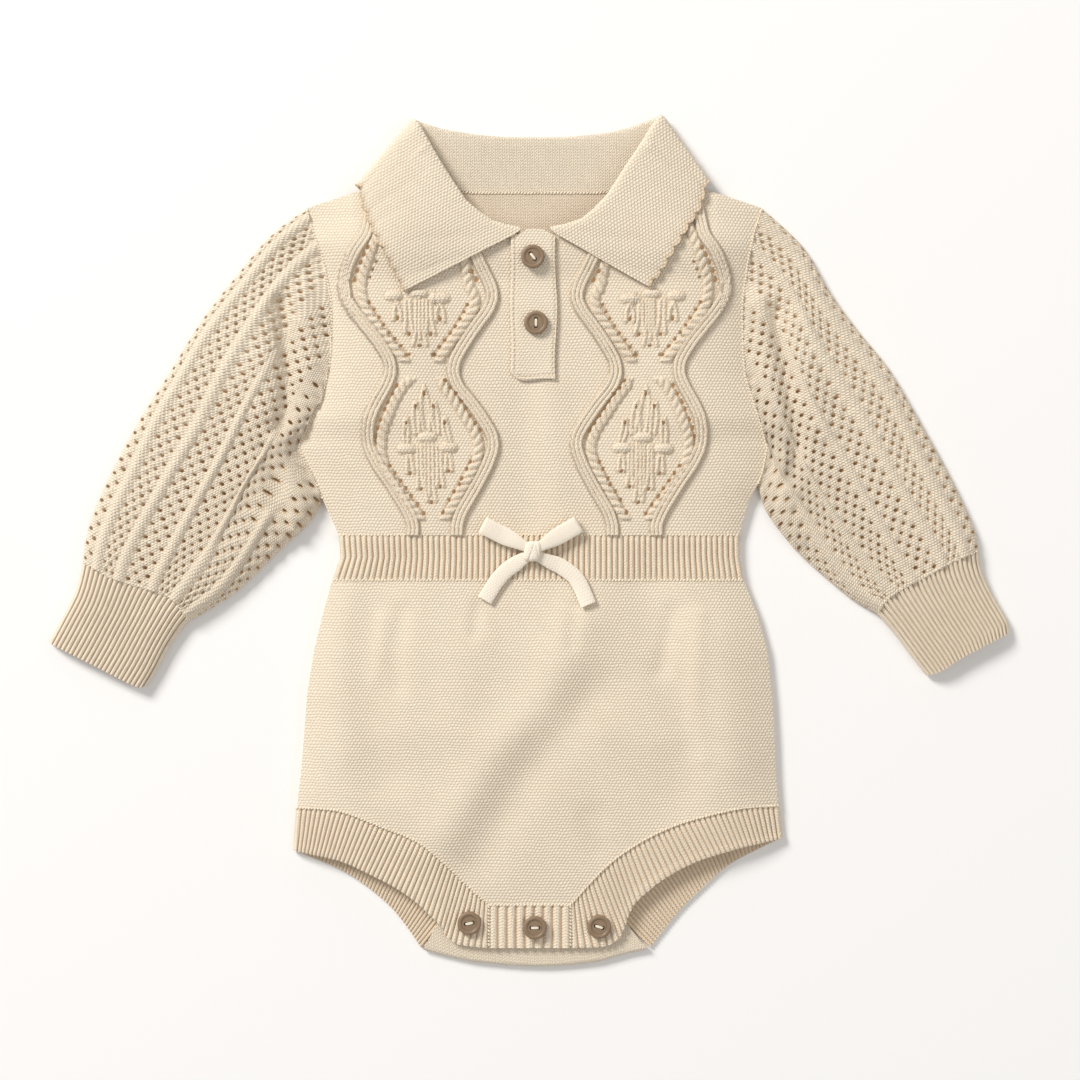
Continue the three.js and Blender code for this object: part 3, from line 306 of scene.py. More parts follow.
def neckHeight(x):
    side = np.abs(x)
    shoulder = mix(184.8, shoulderY, (side - 51.4) / (shoulderX - 51.4))
    return np.where(side > 51.4, shoulder, column(neckSeam, side, 1) - 1.5)


# mesh tools
def stackXyz(x, y, z):
    x, y, z = np.broadcast_arrays(x, y, z)
    return np.stack([x, y, z], axis=-1).astype(float)


def gridFaces(rows, columns, keep=None):
    index = np.arange(rows * columns).reshape(rows, columns)
    quads = np.stack([index[:-1, :-1], index[:-1, 1:], index[1:, 1:], index[1:, :-1]], axis=-1)
    return quads.reshape(-1, 4) if keep is None else quads[keep]


def mergedLayers(layers, faces, uv, shades, vees):
    # corners that meet in every layer become one, the same way in each
    key = np.round(np.concatenate(layers, axis=1) * 500).astype(np.int64)
    _, first, inverse = np.unique(key, axis=0, return_index=True, return_inverse=True)
    merged = inverse.reshape(-1)[faces]
    distinct = (merged != np.roll(merged, 1, axis=1)).sum(axis=1)
    crossed = (merged[:, 0] == merged[:, 2]) | (merged[:, 1] == merged[:, 3])
    good = (distinct > 2) & ~crossed
    return [
        {"points": points[first], "faces": merged[good], "uv": uv[faces][good], "shade": shade[first],
         "vee": vee[first]}
        for points, shade, vee in zip(layers, shades, vees)
    ]


def gridPart(points, uv, shade=0.0, vee=0.0, keep=None):
    rows, columns = points.shape[:2]
    flat = np.broadcast_to(uv, (rows, columns, 2)).reshape(-1, 2)
    spread = lambda value: np.broadcast_to(value, (rows, columns)).ravel()
    faces = gridFaces(rows, columns, keep)
    return mergedLayers([points.reshape(-1, 3)], faces, flat, [spread(shade)], [spread(vee)])[0]


def gridShell(outer, inner, uv, shade=0.0, vee=0.0, keep=None, innerShade=0.0, innerVee=1.0):
    rows, columns = outer.shape[:2]
    flat = np.broadcast_to(uv, (rows, columns, 2)).reshape(-1, 2)
    spread = lambda value: np.broadcast_to(value, (rows, columns)).ravel()
    layers = mergedLayers([outer.reshape(-1, 3), inner.reshape(-1, 3)], gridFaces(rows, columns, keep), flat,
                          [spread(shade), spread(innerShade)], [spread(vee), spread(innerVee)])
    return pairedShell(*layers)


def openEdges(faces):
    edges = np.concatenate([np.stack([faces[:, k], faces[:, (k + 1) % 4]], axis=1) for k in range(4)])
    edges = edges[edges[:, 0] != edges[:, 1]]
    size = int(faces.max()) + 1
    codes, reverse = edges[:, 0] * size + edges[:, 1], edges[:, 1] * size + edges[:, 0]
    return edges[~np.isin(codes, reverse)]


def edgeLoops(edges):
    following = {}
    for a, b in edges.tolist():
        following.setdefault(a, []).append(b)
    loops = []
    while following:
        start = next(iter(following))
        loop, point = [], start
        while point in following:
            loop.append(point)
            steps = following[point]
            after = steps.pop()
            if not steps:
                del following[point]
            point = after
        loops.append(loop)
    return loops


def zipRim(points, outerLoop, innerLoop):
    # always takes the shorter next side
    near = lambda a, b: float(np.sum((points[a] - points[b]) ** 2))
    shift = min(range(len(innerLoop)), key=lambda k: near(outerLoop[0], innerLoop[k]))
    inner = innerLoop[shift:] + innerLoop[:shift]
    faces, i, j = [], 0, 0
    while i < len(outerLoop) or j < len(inner):
        a, b = outerLoop[i % len(outerLoop)], inner[j % len(inner)]
        nextA, nextB = outerLoop[(i + 1) % len(outerLoop)], inner[(j + 1) % len(inner)]
        stepOuter = near(nextA, b) if i < len(outerLoop) else 1e18
        stepInner = near(a, nextB) if j < len(inner) else 1e18
        if stepOuter <= stepInner:
            faces.append([nextA, a, b, b])
            i += 1
        else:
            faces.append([b, nextB, a, a])
            j += 1
    return np.array(faces)


def joinParts(parts):
    joined, start = {key: [] for key in ("points", "faces", "uv", "shade", "vee")}, 0
    for part in parts:
        joined["faces"].append(part["faces"] + start)
        for key in ("points", "uv", "shade", "vee"):
            joined[key].append(part[key])
        start += len(part["points"])
    return {key: np.concatenate(value) for key, value in joined.items()}


def addFaces(part, faces):
    uv = np.zeros((len(part["points"]), 2))
    uv[part["faces"].ravel()] = part["uv"].reshape(-1, 2)
    allFaces = np.concatenate([part["faces"], faces])
    return {**part, "faces": allFaces, "uv": np.concatenate([part["uv"], uv[faces]])}


def turnedOver(part):
    return {**part, "faces": part["faces"][:, ::-1], "uv": part["uv"][:, ::-1]}


def pairedShell(outer, inner):
    # two layers with the same corners, joined along every open edge
    count = len(outer["points"])
    edges = openEdges(outer["faces"])
    a, b = edges[:, 0], edges[:, 1]
    return addFaces(joinParts([outer, turnedOver(inner)]), np.stack([b, a, a + count, b + count], axis=1))


def zippedShell(outer, inner):
    # a fine layer over a coarse one
    whole = joinParts([outer, turnedOver(inner)])
    innerLoops = edgeLoops(openEdges(inner["faces"]) + len(outer["points"]))
    rims = []
    for loop in edgeLoops(openEdges(outer["faces"])):
        centre = whole["points"][loop].mean(axis=0)
        apart = lambda other: np.sum((whole["points"][other].mean(axis=0) - centre) ** 2)
        partner = min(innerLoops, key=apart)
        rims.append(zipRim(whole["points"], loop, partner))
    return addFaces(whole, np.concatenate(rims))


def gridNormals(grid):
    before = np.concatenate([grid[:, :1], grid[:, :-1]], axis=1)
    after = np.concatenate([grid[:, 1:], grid[:, -1:]], axis=1)
    below = np.concatenate([grid[:1], grid[:-1]], axis=0)
    above = np.concatenate([grid[1:], grid[-1:]], axis=0)
    normal = np.cross(after - before, above - below)
    return normal / np.maximum(np.linalg.norm(normal, axis=-1, keepdims=True), 1e-9)


def bentSheet(middle, thickness, uv, facing=1, rise=0.0, under=0.0, shade=0.0, vee=0.0, innerShade=0.0):
    normal = facing * gridNormals(middle)
    grow = lambda value: np.broadcast_to(value, middle.shape[:2])[..., None]
    outer = middle + normal * (thickness / 2 + grow(rise))
    inner = middle - normal * (thickness / 2 + grow(under))
    return gridShell(outer, inner, uv, shade, vee, innerShade=innerShade)


def meshOf(name, part, material, sharp=55):
    faces, uv, points = part["faces"], part["uv"], part["points"]
    a, b, c, d = (points[faces[:, k]] for k in range(4))
    volume = np.einsum("ij,ij->i", a, np.cross(b, c)).sum() + np.einsum("ij,ij->i", a, np.cross(c, d)).sum()
    if volume < 0:
        faces, uv = faces[:, ::-1], uv[:, ::-1]
    kept = faces != np.roll(faces, 1, axis=1)
    totals = kept.sum(axis=1)
    starts = np.r_[0, np.cumsum(totals)[:-1]]
    mesh = bpy.data.meshes.new(name)
    mesh.vertices.add(len(points))
    mesh.vertices.foreach_set("co", (points * mm).astype(np.float32).ravel())
    mesh.loops.add(int(totals.sum()))
    mesh.loops.foreach_set("vertex_index", faces[kept].astype(np.int32))
    mesh.polygons.add(len(faces))
    mesh.polygons.foreach_set("loop_start", starts.astype(np.int32))
    mesh.update(calc_edges=True)
    layer = mesh.uv_layers.new(name="cloth")
    layer.data.foreach_set("uv", uv[kept].astype(np.float32).ravel())
    for key in ("shade", "vee"):
        values = mesh.attributes.new(key, "FLOAT", "POINT")
        values.data.foreach_set("value", part[key].astype(np.float32))
    mesh.polygons.foreach_set("use_smooth", np.ones(len(mesh.polygons), bool))
    mesh.set_sharp_from_angle(angle=math.radians(sharp))
    mesh.materials.append(material)
    return mesh


def addPiece(name, part, material, nodes=(), sharp=55):
    piece = bpy.data.objects.new(name, meshOf(name, part, material, sharp))
    bpy.context.collection.objects.link(piece)
    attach(piece, "root")
    if nodes:
        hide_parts(*nodes)
    print(f"piece: {name}, {sum(len(p.vertices) - 2 for p in piece.data.polygons)} triangles")
    return piece


# materials
yarn = {
    # the deep cream is the colour of the yarn's random mottle, and also of the painted shade in grooves, pits
    # and under layers and of the painted glow there
    "cream": (0.895, 0.79, 0.635), "creamMottleShadeGlow": (0.47, 0.31, 0.165),
    "pale": (0.91, 0.825, 0.695), "horn": (0.34, 0.23, 0.14), "hornGrainAndShade": (0.07, 0.045, 0.028),
}


def addNode(tree, kind, settings=None, **inputs):
    node = tree.nodes.new(kind)
    for key, value in (settings or {}).items():
        setattr(node, key, value)
    for key, value in inputs.items():
        numbered = key[0] == "i" and key[1:].isdigit()
        socket = node.inputs[int(key[1:]) if numbered else key.replace("_", " ")]
        if isinstance(value, bpy.types.NodeSocket):
            tree.links.new(value, socket)
        else:
            socket.default_value = value
    return node


def mathStep(tree, operation, a, b=0.5, c=0.5):
    return addNode(tree, "ShaderNodeMath", {"operation": operation}, i0=a, i1=b, i2=c).outputs[0]


def newGroup(name, inputs, outputs):
    tree = bpy.data.node_groups.new(name, "ShaderNodeTree")
    for label, kind, value in inputs:
        socket = tree.interface.new_socket(label, in_out="INPUT", socket_type=kind)
        if value is not None:
            socket.default_value = value
    for label, kind in outputs:
        tree.interface.new_socket(label, in_out="OUTPUT", socket_type=kind)
    return tree, tree.nodes.new("NodeGroupInput").outputs, tree.nodes.new("NodeGroupOutput").inputs


def buildStitchGroup():
    tree, given, result = newGroup(
        "knitStitch",
        [("Vector", "NodeSocketVector", None), ("Stitch Width", "NodeSocketFloat", 2.4),
         ("Row Height", "NodeSocketFloat", 1.2), ("Vee", "NodeSocketFloat", 0.0)],
        [("Height", "NodeSocketFloat"), ("Groove", "NodeSocketFloat")],
    )
    split = addNode(tree, "ShaderNodeSeparateXYZ", i0=given["Vector"]).outputs
    noise = addNode(tree, "ShaderNodeTexNoise", Vector=given["Vector"], Scale=0.14, Detail=2.0)
    wobble = mathStep(tree, "SUBTRACT", noise.outputs["Fac"], 0.5)
    x = mathStep(tree, "MULTIPLY_ADD", wobble, 0.8, mathStep(tree, "DIVIDE", split[0], given["Stitch Width"]))
    y = mathStep(tree, "MULTIPLY_ADD", wobble, 1.3, mathStep(tree, "DIVIDE", split[1], given["Row Height"]))
    # purl: short arcs, every other row half a stitch along
    odd = mathStep(tree, "FLOORED_MODULO", mathStep(tree, "FLOOR", y), 2.0)
    along = mathStep(tree, "FRACT", mathStep(tree, "MULTIPLY_ADD", odd, 0.5, x))
    along = mathStep(tree, "ABSOLUTE", mathStep(tree, "SUBTRACT", along, 0.5))
    arc = mathStep(tree, "MULTIPLY", mathStep(tree, "MULTIPLY", along, along), 1.7)
    up = mathStep(tree, "SUBTRACT", mathStep(tree, "ADD", mathStep(tree, "FRACT", y), arc), 0.55)
    loop = mathStep(tree, "MAXIMUM", mathStep(tree, "COSINE", mathStep(tree, "MULTIPLY", up, math.pi)), 0.0)
    ends = mathStep(tree, "COSINE", mathStep(tree, "MULTIPLY", along, math.pi * 0.92))
    purl = mathStep(tree, "MULTIPLY", mathStep(tree, "POWER", loop, 0.8), mathStep(tree, "POWER", ends, 1.1))
    # vee: two slanted legs to a stitch
    leg = mathStep(tree, "ABSOLUTE", mathStep(tree, "SUBTRACT", mathStep(tree, "FRACT", x), 0.5))
    slant = mathStep(tree, "MULTIPLY_ADD", leg, 1.6, y)
    strand = mathStep(tree, "COSINE", mathStep(tree, "MULTIPLY", slant, 2 * math.pi))
    strand = mathStep(tree, "MULTIPLY_ADD", strand, 0.36, 0.64)
    across = mathStep(tree, "SINE", mathStep(tree, "MULTIPLY", leg, 2 * math.pi))
    across = mathStep(tree, "MAXIMUM", across, 0.0)
    veeForm = mathStep(tree, "MULTIPLY", strand, mathStep(tree, "POWER", across, 0.5))
    blend = addNode(tree, "ShaderNodeMix", {"data_type": "FLOAT"}, i0=given["Vee"], i2=purl, i3=veeForm)
    height = blend.outputs[0]
    tree.links.new(height, result["Height"])
    tree.links.new(mathStep(tree, "SUBTRACT", 1.0, height), result["Groove"])
    return tree


def buildToneGroup():
    tree, given, result = newGroup(
        "yarnMottleShadeGlow",
        [("Vector", "NodeSocketVector", None), ("Yarn", "NodeSocketColor", (0.9, 0.8, 0.62, 1)),
         ("Deep", "NodeSocketColor", (0.6, 0.42, 0.25, 1)), ("Groove", "NodeSocketFloat", 0.0),
         ("Shade", "NodeSocketFloat", 0.0), ("Groove Tint", "NodeSocketFloat", 0.16)],
        [("Color", "NodeSocketColor"), ("Roughness", "NodeSocketFloat"), ("Glow", "NodeSocketColor")],
    )
    clouds = addNode(tree, "ShaderNodeTexNoise", Vector=given["Vector"], Scale=0.035, Detail=3.0)
    cloudy = clouds.outputs["Fac"]
    flecks = addNode(tree, "ShaderNodeTexNoise", Vector=given["Vector"], Scale=1.1, Detail=2.0).outputs["Fac"]
    # painted shade: colour goes towards the deep cream by the groove input (the stitch grooves of the knits)
    # and by the shade attribute, which marks grooves, pits, creases and under layers
    amount = mathStep(tree, "MULTIPLY", given["Groove"], given["Groove Tint"])
    # the cloud and fleck noise below is random tone of the yarn
    amount = mathStep(tree, "MULTIPLY_ADD", mathStep(tree, "SUBTRACT", cloudy, 0.5), 0.16, amount)
    amount = mathStep(tree, "MULTIPLY_ADD", mathStep(tree, "SUBTRACT", flecks, 0.5), 0.1, amount)
    amount = mathStep(tree, "MAXIMUM", mathStep(tree, "ADD", amount, given["Shade"]), 0.0)
    amount = mathStep(tree, "MINIMUM", amount, 1.0)
    tone = addNode(tree, "ShaderNodeMix", {"data_type": "RGBA"},
                   i0=amount, i6=given["Yarn"], i7=given["Deep"])
    tree.links.new(tone.outputs[2], result["Color"])
    tree.links.new(mathStep(tree, "MULTIPLY_ADD", flecks, 0.16, 0.8), result["Roughness"])
    # painted glow: deep places emit the deep cream, standing in for light scattered through the yarn
    paintedGlowAmount = mathStep(tree, "MULTIPLY", mathStep(tree, "POWER", given["Shade"], 1.8), 0.42)
    glow = addNode(tree, "ShaderNodeMix", {"data_type": "RGBA"},
                   i0=paintedGlowAmount, i6=(0, 0, 0, 1), i7=given["Deep"])
    tree.links.new(glow.outputs[2], result["Glow"])
    return tree


stitchGroup = buildStitchGroup()
toneGroup = buildToneGroup()


# each knit gets painted shade in its stitch grooves, as strong as the darkening given per material below
def knitMaterial(name, yarnColour, width, row, bump=0.55, tint=0.22, sheen=0.2):
    material = bpy.data.materials.new(name)
    material.use_nodes = True
    tree = material.node_tree
    shader = tree.nodes["Principled BSDF"]
    uv = addNode(tree, "ShaderNodeUVMap", {"uv_map": "cloth"}).outputs[0]
    shade = addNode(tree, "ShaderNodeAttribute", {"attribute_name": "shade"}).outputs["Fac"]
    vee = addNode(tree, "ShaderNodeAttribute", {"attribute_name": "vee"}).outputs["Fac"]
    stitch = addNode(tree, "ShaderNodeGroup", {"node_tree": stitchGroup}, Vector=uv, Vee=vee,
                     **{"Stitch_Width": width, "Row_Height": row})
    tone = addNode(tree, "ShaderNodeGroup", {"node_tree": toneGroup}, Vector=uv, Shade=shade,
                   Groove=stitch.outputs["Groove"], Yarn=(*yarn[yarnColour], 1), Deep=(*yarn["creamMottleShadeGlow"], 1),
                   **{"Groove_Tint": tint})
    relief = addNode(tree, "ShaderNodeBump", Height=stitch.outputs["Height"], Strength=bump, Distance=0.0006)
    tree.links.new(tone.outputs["Color"], shader.inputs["Base Color"])
    # painted glow in the shaded places comes from this emission
    tree.links.new(tone.outputs["Glow"], shader.inputs["Emission Color"])
    shader.inputs["Emission Strength"].default_value = 1.0
    tree.links.new(tone.outputs["Roughness"], shader.inputs["Roughness"])
    tree.links.new(relief.outputs[0], shader.inputs["Normal"])
    shader.inputs["Sheen Weight"].default_value = sheen
    shader.inputs["Sheen Roughness"].default_value = 0.5
    shader.inputs["Specular IOR Level"].default_value = 0.25
    return material


def hornMaterial():
    material = bpy.data.materials.new("hornButton")
    material.use_nodes = True
    tree = material.node_tree
    shader = tree.nodes["Principled BSDF"]
    uv = addNode(tree, "ShaderNodeUVMap", {"uv_map": "cloth"}).outputs[0]
    grain = addNode(tree, "ShaderNodeTexNoise", Vector=uv, Scale=0.5, Detail=4.0, Distortion=1.5)
    streaks = grain.outputs["Fac"]
    shade = addNode(tree, "ShaderNodeAttribute", {"attribute_name": "shade"}).outputs["Fac"]
    # the horn darkens with its grain streaks and with painted shade from the shade attribute
    tint = mathStep(tree, "MINIMUM", mathStep(tree, "MULTIPLY_ADD", streaks, 0.5, shade), 1.0)
    tone = addNode(tree, "ShaderNodeMix", {"data_type": "RGBA"},
                   i0=tint, i6=(*yarn["horn"], 1), i7=(*yarn["hornGrainAndShade"], 1))
    tree.links.new(tone.outputs[2], shader.inputs["Base Color"])
    tree.links.new(mathStep(tree, "MULTIPLY_ADD", streaks, 0.25, 0.35), shader.inputs["Roughness"])
    relief = addNode(tree, "ShaderNodeBump", Height=streaks, Strength=0.15, Distance=0.0002)
    tree.links.new(relief.outputs[0], shader.inputs["Normal"])
    return material


ribStitch = 3.9  # width of one rib as the knit pattern counts it
bodyKnit = knitMaterial("bodyKnit", "cream", 1.7, 1.42, bump=0.65, tint=0.27)
openKnit = knitMaterial("openKnit", "cream", 1.5, 1.25, bump=0.8, tint=0.28)
ribKnit = knitMaterial("ribKnit", "cream", ribStitch, 1.42, bump=0.6)
collarKnit = knitMaterial("collarKnit", "cream", 1.7, 1.42, bump=0.75, tint=0.28)
placketKnit = knitMaterial("placketKnit", "cream", 1.7, 1.3, bump=0.6)
tapeKnit = knitMaterial("tapeKnit", "pale", 1.25, 1.3, bump=0.25, tint=0.08)
threadYarn = knitMaterial("threadYarn", "pale", 0.4, 0.4, bump=0.2, tint=0.1)
hornButton = hornMaterial()
print("materials: knits, tape, thread, horn")

# bodice front with cables, braids and motifs
cableSpec = {"half": 2.95, "cord": 1.97, "rise": 2.1}
braidSpec = {"half": 2.35, "rise": 2.0, "pitch": 4.1, "slant": 0.42}
eyeletSpec = {"size": 0.86, "depth": 1.2, "lip": 0.25}
strandSpec = {"half": 1.0, "rise": 1.6}
wrapSpec = {"rise": 2.4, "cord": 1.25}
# braids beside the motifs: y, distance from the middle
braids = [
    [[92, 60.5], [93.4, 62], [100.6, 67.5], [108.3, 73], [114.3, 78], [119.9, 81.3], [127.6, 82.7],
     [134, 82], [148, 77], [160, 72]],
    [[92, 47], [93.4, 46], [100, 41.6], [106.6, 36.7], [113.2, 32.3], [118.2, 28.9], [124.3, 28.4],
     [129.2, 31.4], [136, 32.5], [150, 36]],
    [[17, 54], [19.7, 55.3], [27, 60.5], [35, 66], [43.3, 71.5], [50, 73.2], [57.6, 73], [61.4, 72],
     [65.4, 70.5], [70.3, 68.5], [73.7, 67], [77.8, 64.9], [81.6, 62.6], [86, 58]],
    [[17, 44], [21.3, 41], [31.2, 35.6], [37.4, 32], [45.3, 27.9], [50, 26.8], [55, 26.9], [60.5, 29],
     [63.8, 31.2], [67.3, 33.6], [70.8, 35.8], [74.2, 38], [77.8, 40.5], [80.6, 43.2], [86, 45]],
]
# eyelets: distance from the middle, y, half width, half height
eyelets = [
    (79.4, 147.2, 1.0, 1.1), (81.3, 143.9, 1.1, 1.1), (82.9, 140.3, 1.1, 1.1), (84.6, 136.4, 1.1, 1.1),
    (85.8, 132.2, 1.15, 1.2), (75.5, 140.5, 0.7, 0.6), (77.2, 136.9, 0.7, 0.6), (78.4, 133.2, 0.6, 0.6),
    (30.3, 136.1, 1.2, 1.1), (27.8, 132.2, 1.2, 1.2),
    (78.9, 121.2, 0.9, 0.8), (76.5, 117.8, 0.9, 0.8), (74, 113.9, 0.9, 0.8), (71.9, 110.4, 0.9, 0.8),
    (69.3, 106.8, 0.9, 0.8), (66.7, 103.7, 0.9, 0.8), (63.8, 100.3, 0.9, 0.8), (60.3, 96.2, 1.5, 0.8),
    (32.2, 120.2, 0.9, 0.8), (33.8, 116.8, 0.9, 0.8), (35.6, 113.4, 0.9, 0.8), (37.9, 109.9, 0.9, 0.8),
    (40.3, 106.6, 0.9, 0.8), (43, 103.3, 0.9, 0.8), (45.4, 99.9, 0.9, 0.8), (48, 96.2, 1.5, 0.8),
    (65.8, 81.6, 0.9, 1.2), (67.9, 77.8, 0.9, 1.1), (70.1, 73.7, 0.9, 1.1), (71.5, 70.3, 0.9, 1.1),
    (73.5, 65.4, 0.9, 1.1), (75, 61.4, 0.9, 1.1), (76, 57.6, 0.8, 1.0),
    (42.7, 84, 1.0, 0.8), (40.3, 80.6, 1.0, 0.8), (37.6, 77.8, 1.0, 0.8), (35.1, 74.2, 1.0, 0.8),
    (32.9, 70.8, 1.0, 0.8), (30.7, 67.3, 1.0, 0.8), (28.3, 63.8, 0.9, 0.8), (26, 60.5, 0.9, 0.8),
    (69.1, 43.3, 0.9, 0.9), (66.6, 39.8, 0.9, 0.9), (64, 36.2, 0.9, 0.9), (61.4, 32.6, 0.9, 0.9),
    (58.8, 29, 0.9, 0.9), (55.8, 25, 0.9, 0.9), (52.9, 20.8, 0.9, 0.9),
    (30.7, 45.3, 0.8, 0.9), (32.4, 41.9, 0.8, 0.9), (34.8, 37.4, 0.8, 0.9), (35.8, 34.6, 0.8, 0.9),
    (38.4, 31.2, 0.8, 0.9), (40.8, 27.2, 0.8, 0.9), (43.7, 21.3, 0.9, 0.9),
    (65.4, 113.6, 0.9, 1.1), (45.2, 113.3, 0.9, 1.0), (59.8, 106.1, 0.9, 0.9), (54.7, 100.6, 1.1, 0.7),
    (49.5, 106, 0.9, 1.0),
    (49.3, 26, 0.9, 0.8), (54.1, 32.4, 0.8, 0.8), (45.1, 33.5, 0.8, 0.8), (59.4, 40, 0.8, 0.8),
    (41.2, 41, 0.8, 0.8), (52.7, 77.8, 0.7, 1.2), (56.8, 71.6, 0.6, 0.9), (48.2, 71.6, 0.6, 0.9),
    (61.2, 64, 0.6, 0.8), (43, 64, 0.6, 0.8),
]
# narrow slits that join the eyelets of a row
slits = [
    [[78.9, 121.2], [74, 113.9], [69.3, 106.8], [60.3, 96.2]], [[32.2, 120.2], [37.9, 109.9], [48, 96.2]],
    [[65.8, 82.5], [70.1, 73.7], [73.5, 65.4], [76, 57.6], [76.4, 53]],
    [[43.5, 85.5], [37.6, 77.8], [30.7, 67.3], [26, 60.5], [24.6, 56]],
    [[71, 47], [69.1, 43.3], [61.4, 32.6], [52.9, 20.8]],
    [[30, 48], [32.4, 41.9], [38.4, 31.2], [43.7, 21.3]],
    [[84.9, 136.4], [86.4, 131]], [[29.5, 135], [27.2, 130.5]],
]
# raised strands of the motifs
strands = [
    [[66, 121.5], [67, 117], [67.3, 113]], [[65.6, 121.5], [63.9, 117], [63.5, 113]],
    [[45.6, 120.5], [47, 116.5], [47.2, 112.5]], [[44.8, 120.5], [43.4, 116.5], [43.2, 112.5]],
    [[61.5, 122], [61.4, 113], [61.9, 107]], [[59.5, 122], [59, 113], [57.7, 106.5]],
    [[56.5, 123], [56.4, 108], [58, 101]], [[54.8, 123], [54.8, 104]],
    [[53.1, 123], [53.2, 108], [51.5, 101]],
    [[51.4, 122], [51.3, 113], [51.9, 106.8]], [[49.6, 122], [49.2, 113], [47.6, 106.5]],
    [[52.2, 54], [52, 34], [51.3, 27]], [[50.4, 54], [50.2, 30]], [[48.6, 54], [48.3, 34], [47.2, 27]],
    [[55.9, 53], [55.7, 38], [56, 33]], [[54.2, 53], [53.8, 38], [52.5, 33]],
    [[46.5, 53], [46.3, 39], [46.7, 34]], [[44.8, 53], [44.4, 39], [43.4, 34]],
    [[60.7, 49], [61, 43], [61, 40.5]], [[59.2, 49], [58.2, 43], [57.7, 40.5]],
    [[42, 49], [42.5, 44], [42.6, 41.5]], [[40.6, 49], [39.9, 44], [39.7, 41.5]],
    [[50.2, 60], [49.7, 68], [50.9, 75], [52.9, 81.5]], [[52.8, 60], [54, 68], [54.4, 75], [52.9, 81.5]],
    [[55, 59], [55.2, 66], [56.4, 74]], [[57, 59], [58.1, 66], [57.6, 73.5]],
    [[47.4, 59], [49, 66], [48.6, 74]], [[45.8, 59], [46, 66], [47.4, 73.5]],
    [[60.4, 55], [60.1, 60], [60.8, 66]], [[62.4, 55], [62.6, 60], [61.8, 66]],
    [[40, 55], [41.2, 60], [42.4, 66]], [[41.9, 55], [43.7, 60], [43.6, 66]],
]
# wraps round the motif strands: distance from the middle, y, half width, half height
wraps = [
    (67.2, 124.3, 4.4, 2.6), (55.4, 125.3, 4.8, 2.2), (45.6, 123.2, 5.4, 2.6),
    (51.4, 57.1, 4.8, 2.7), (61.2, 51.6, 4.8, 2.7), (41.5, 52.1, 4.8, 2.6),
]


def smoothLine(table, index, spread=2.0):
    rows = np.asarray(table, float)
    y = np.arange(rows[0, 0], rows[-1, 0], 0.25)
    kernel = np.exp(-0.5 * (np.arange(-24, 25) * 0.25 / spread) ** 2)
    raw = np.interp(y, rows[:, 0], rows[:, index])
    x = np.convolve(np.pad(raw, 24, mode="edge"), kernel / kernel.sum(), mode="valid")
    slope = np.gradient(x, y)
    run = np.cumsum(np.hypot(np.gradient(y), np.gradient(x)))
    return y, x, slope, run


def besideLine(table, index, side, y, spread=2.0):
    lineY, lineX, slope, run = smoothLine(table, index, spread)
    distance = (side - np.interp(y, lineY, lineX)) / np.sqrt(1 + np.interp(y, lineY, slope) ** 2)
    return distance, np.interp(y, lineY, run) + distance * np.interp(y, lineY, slope)


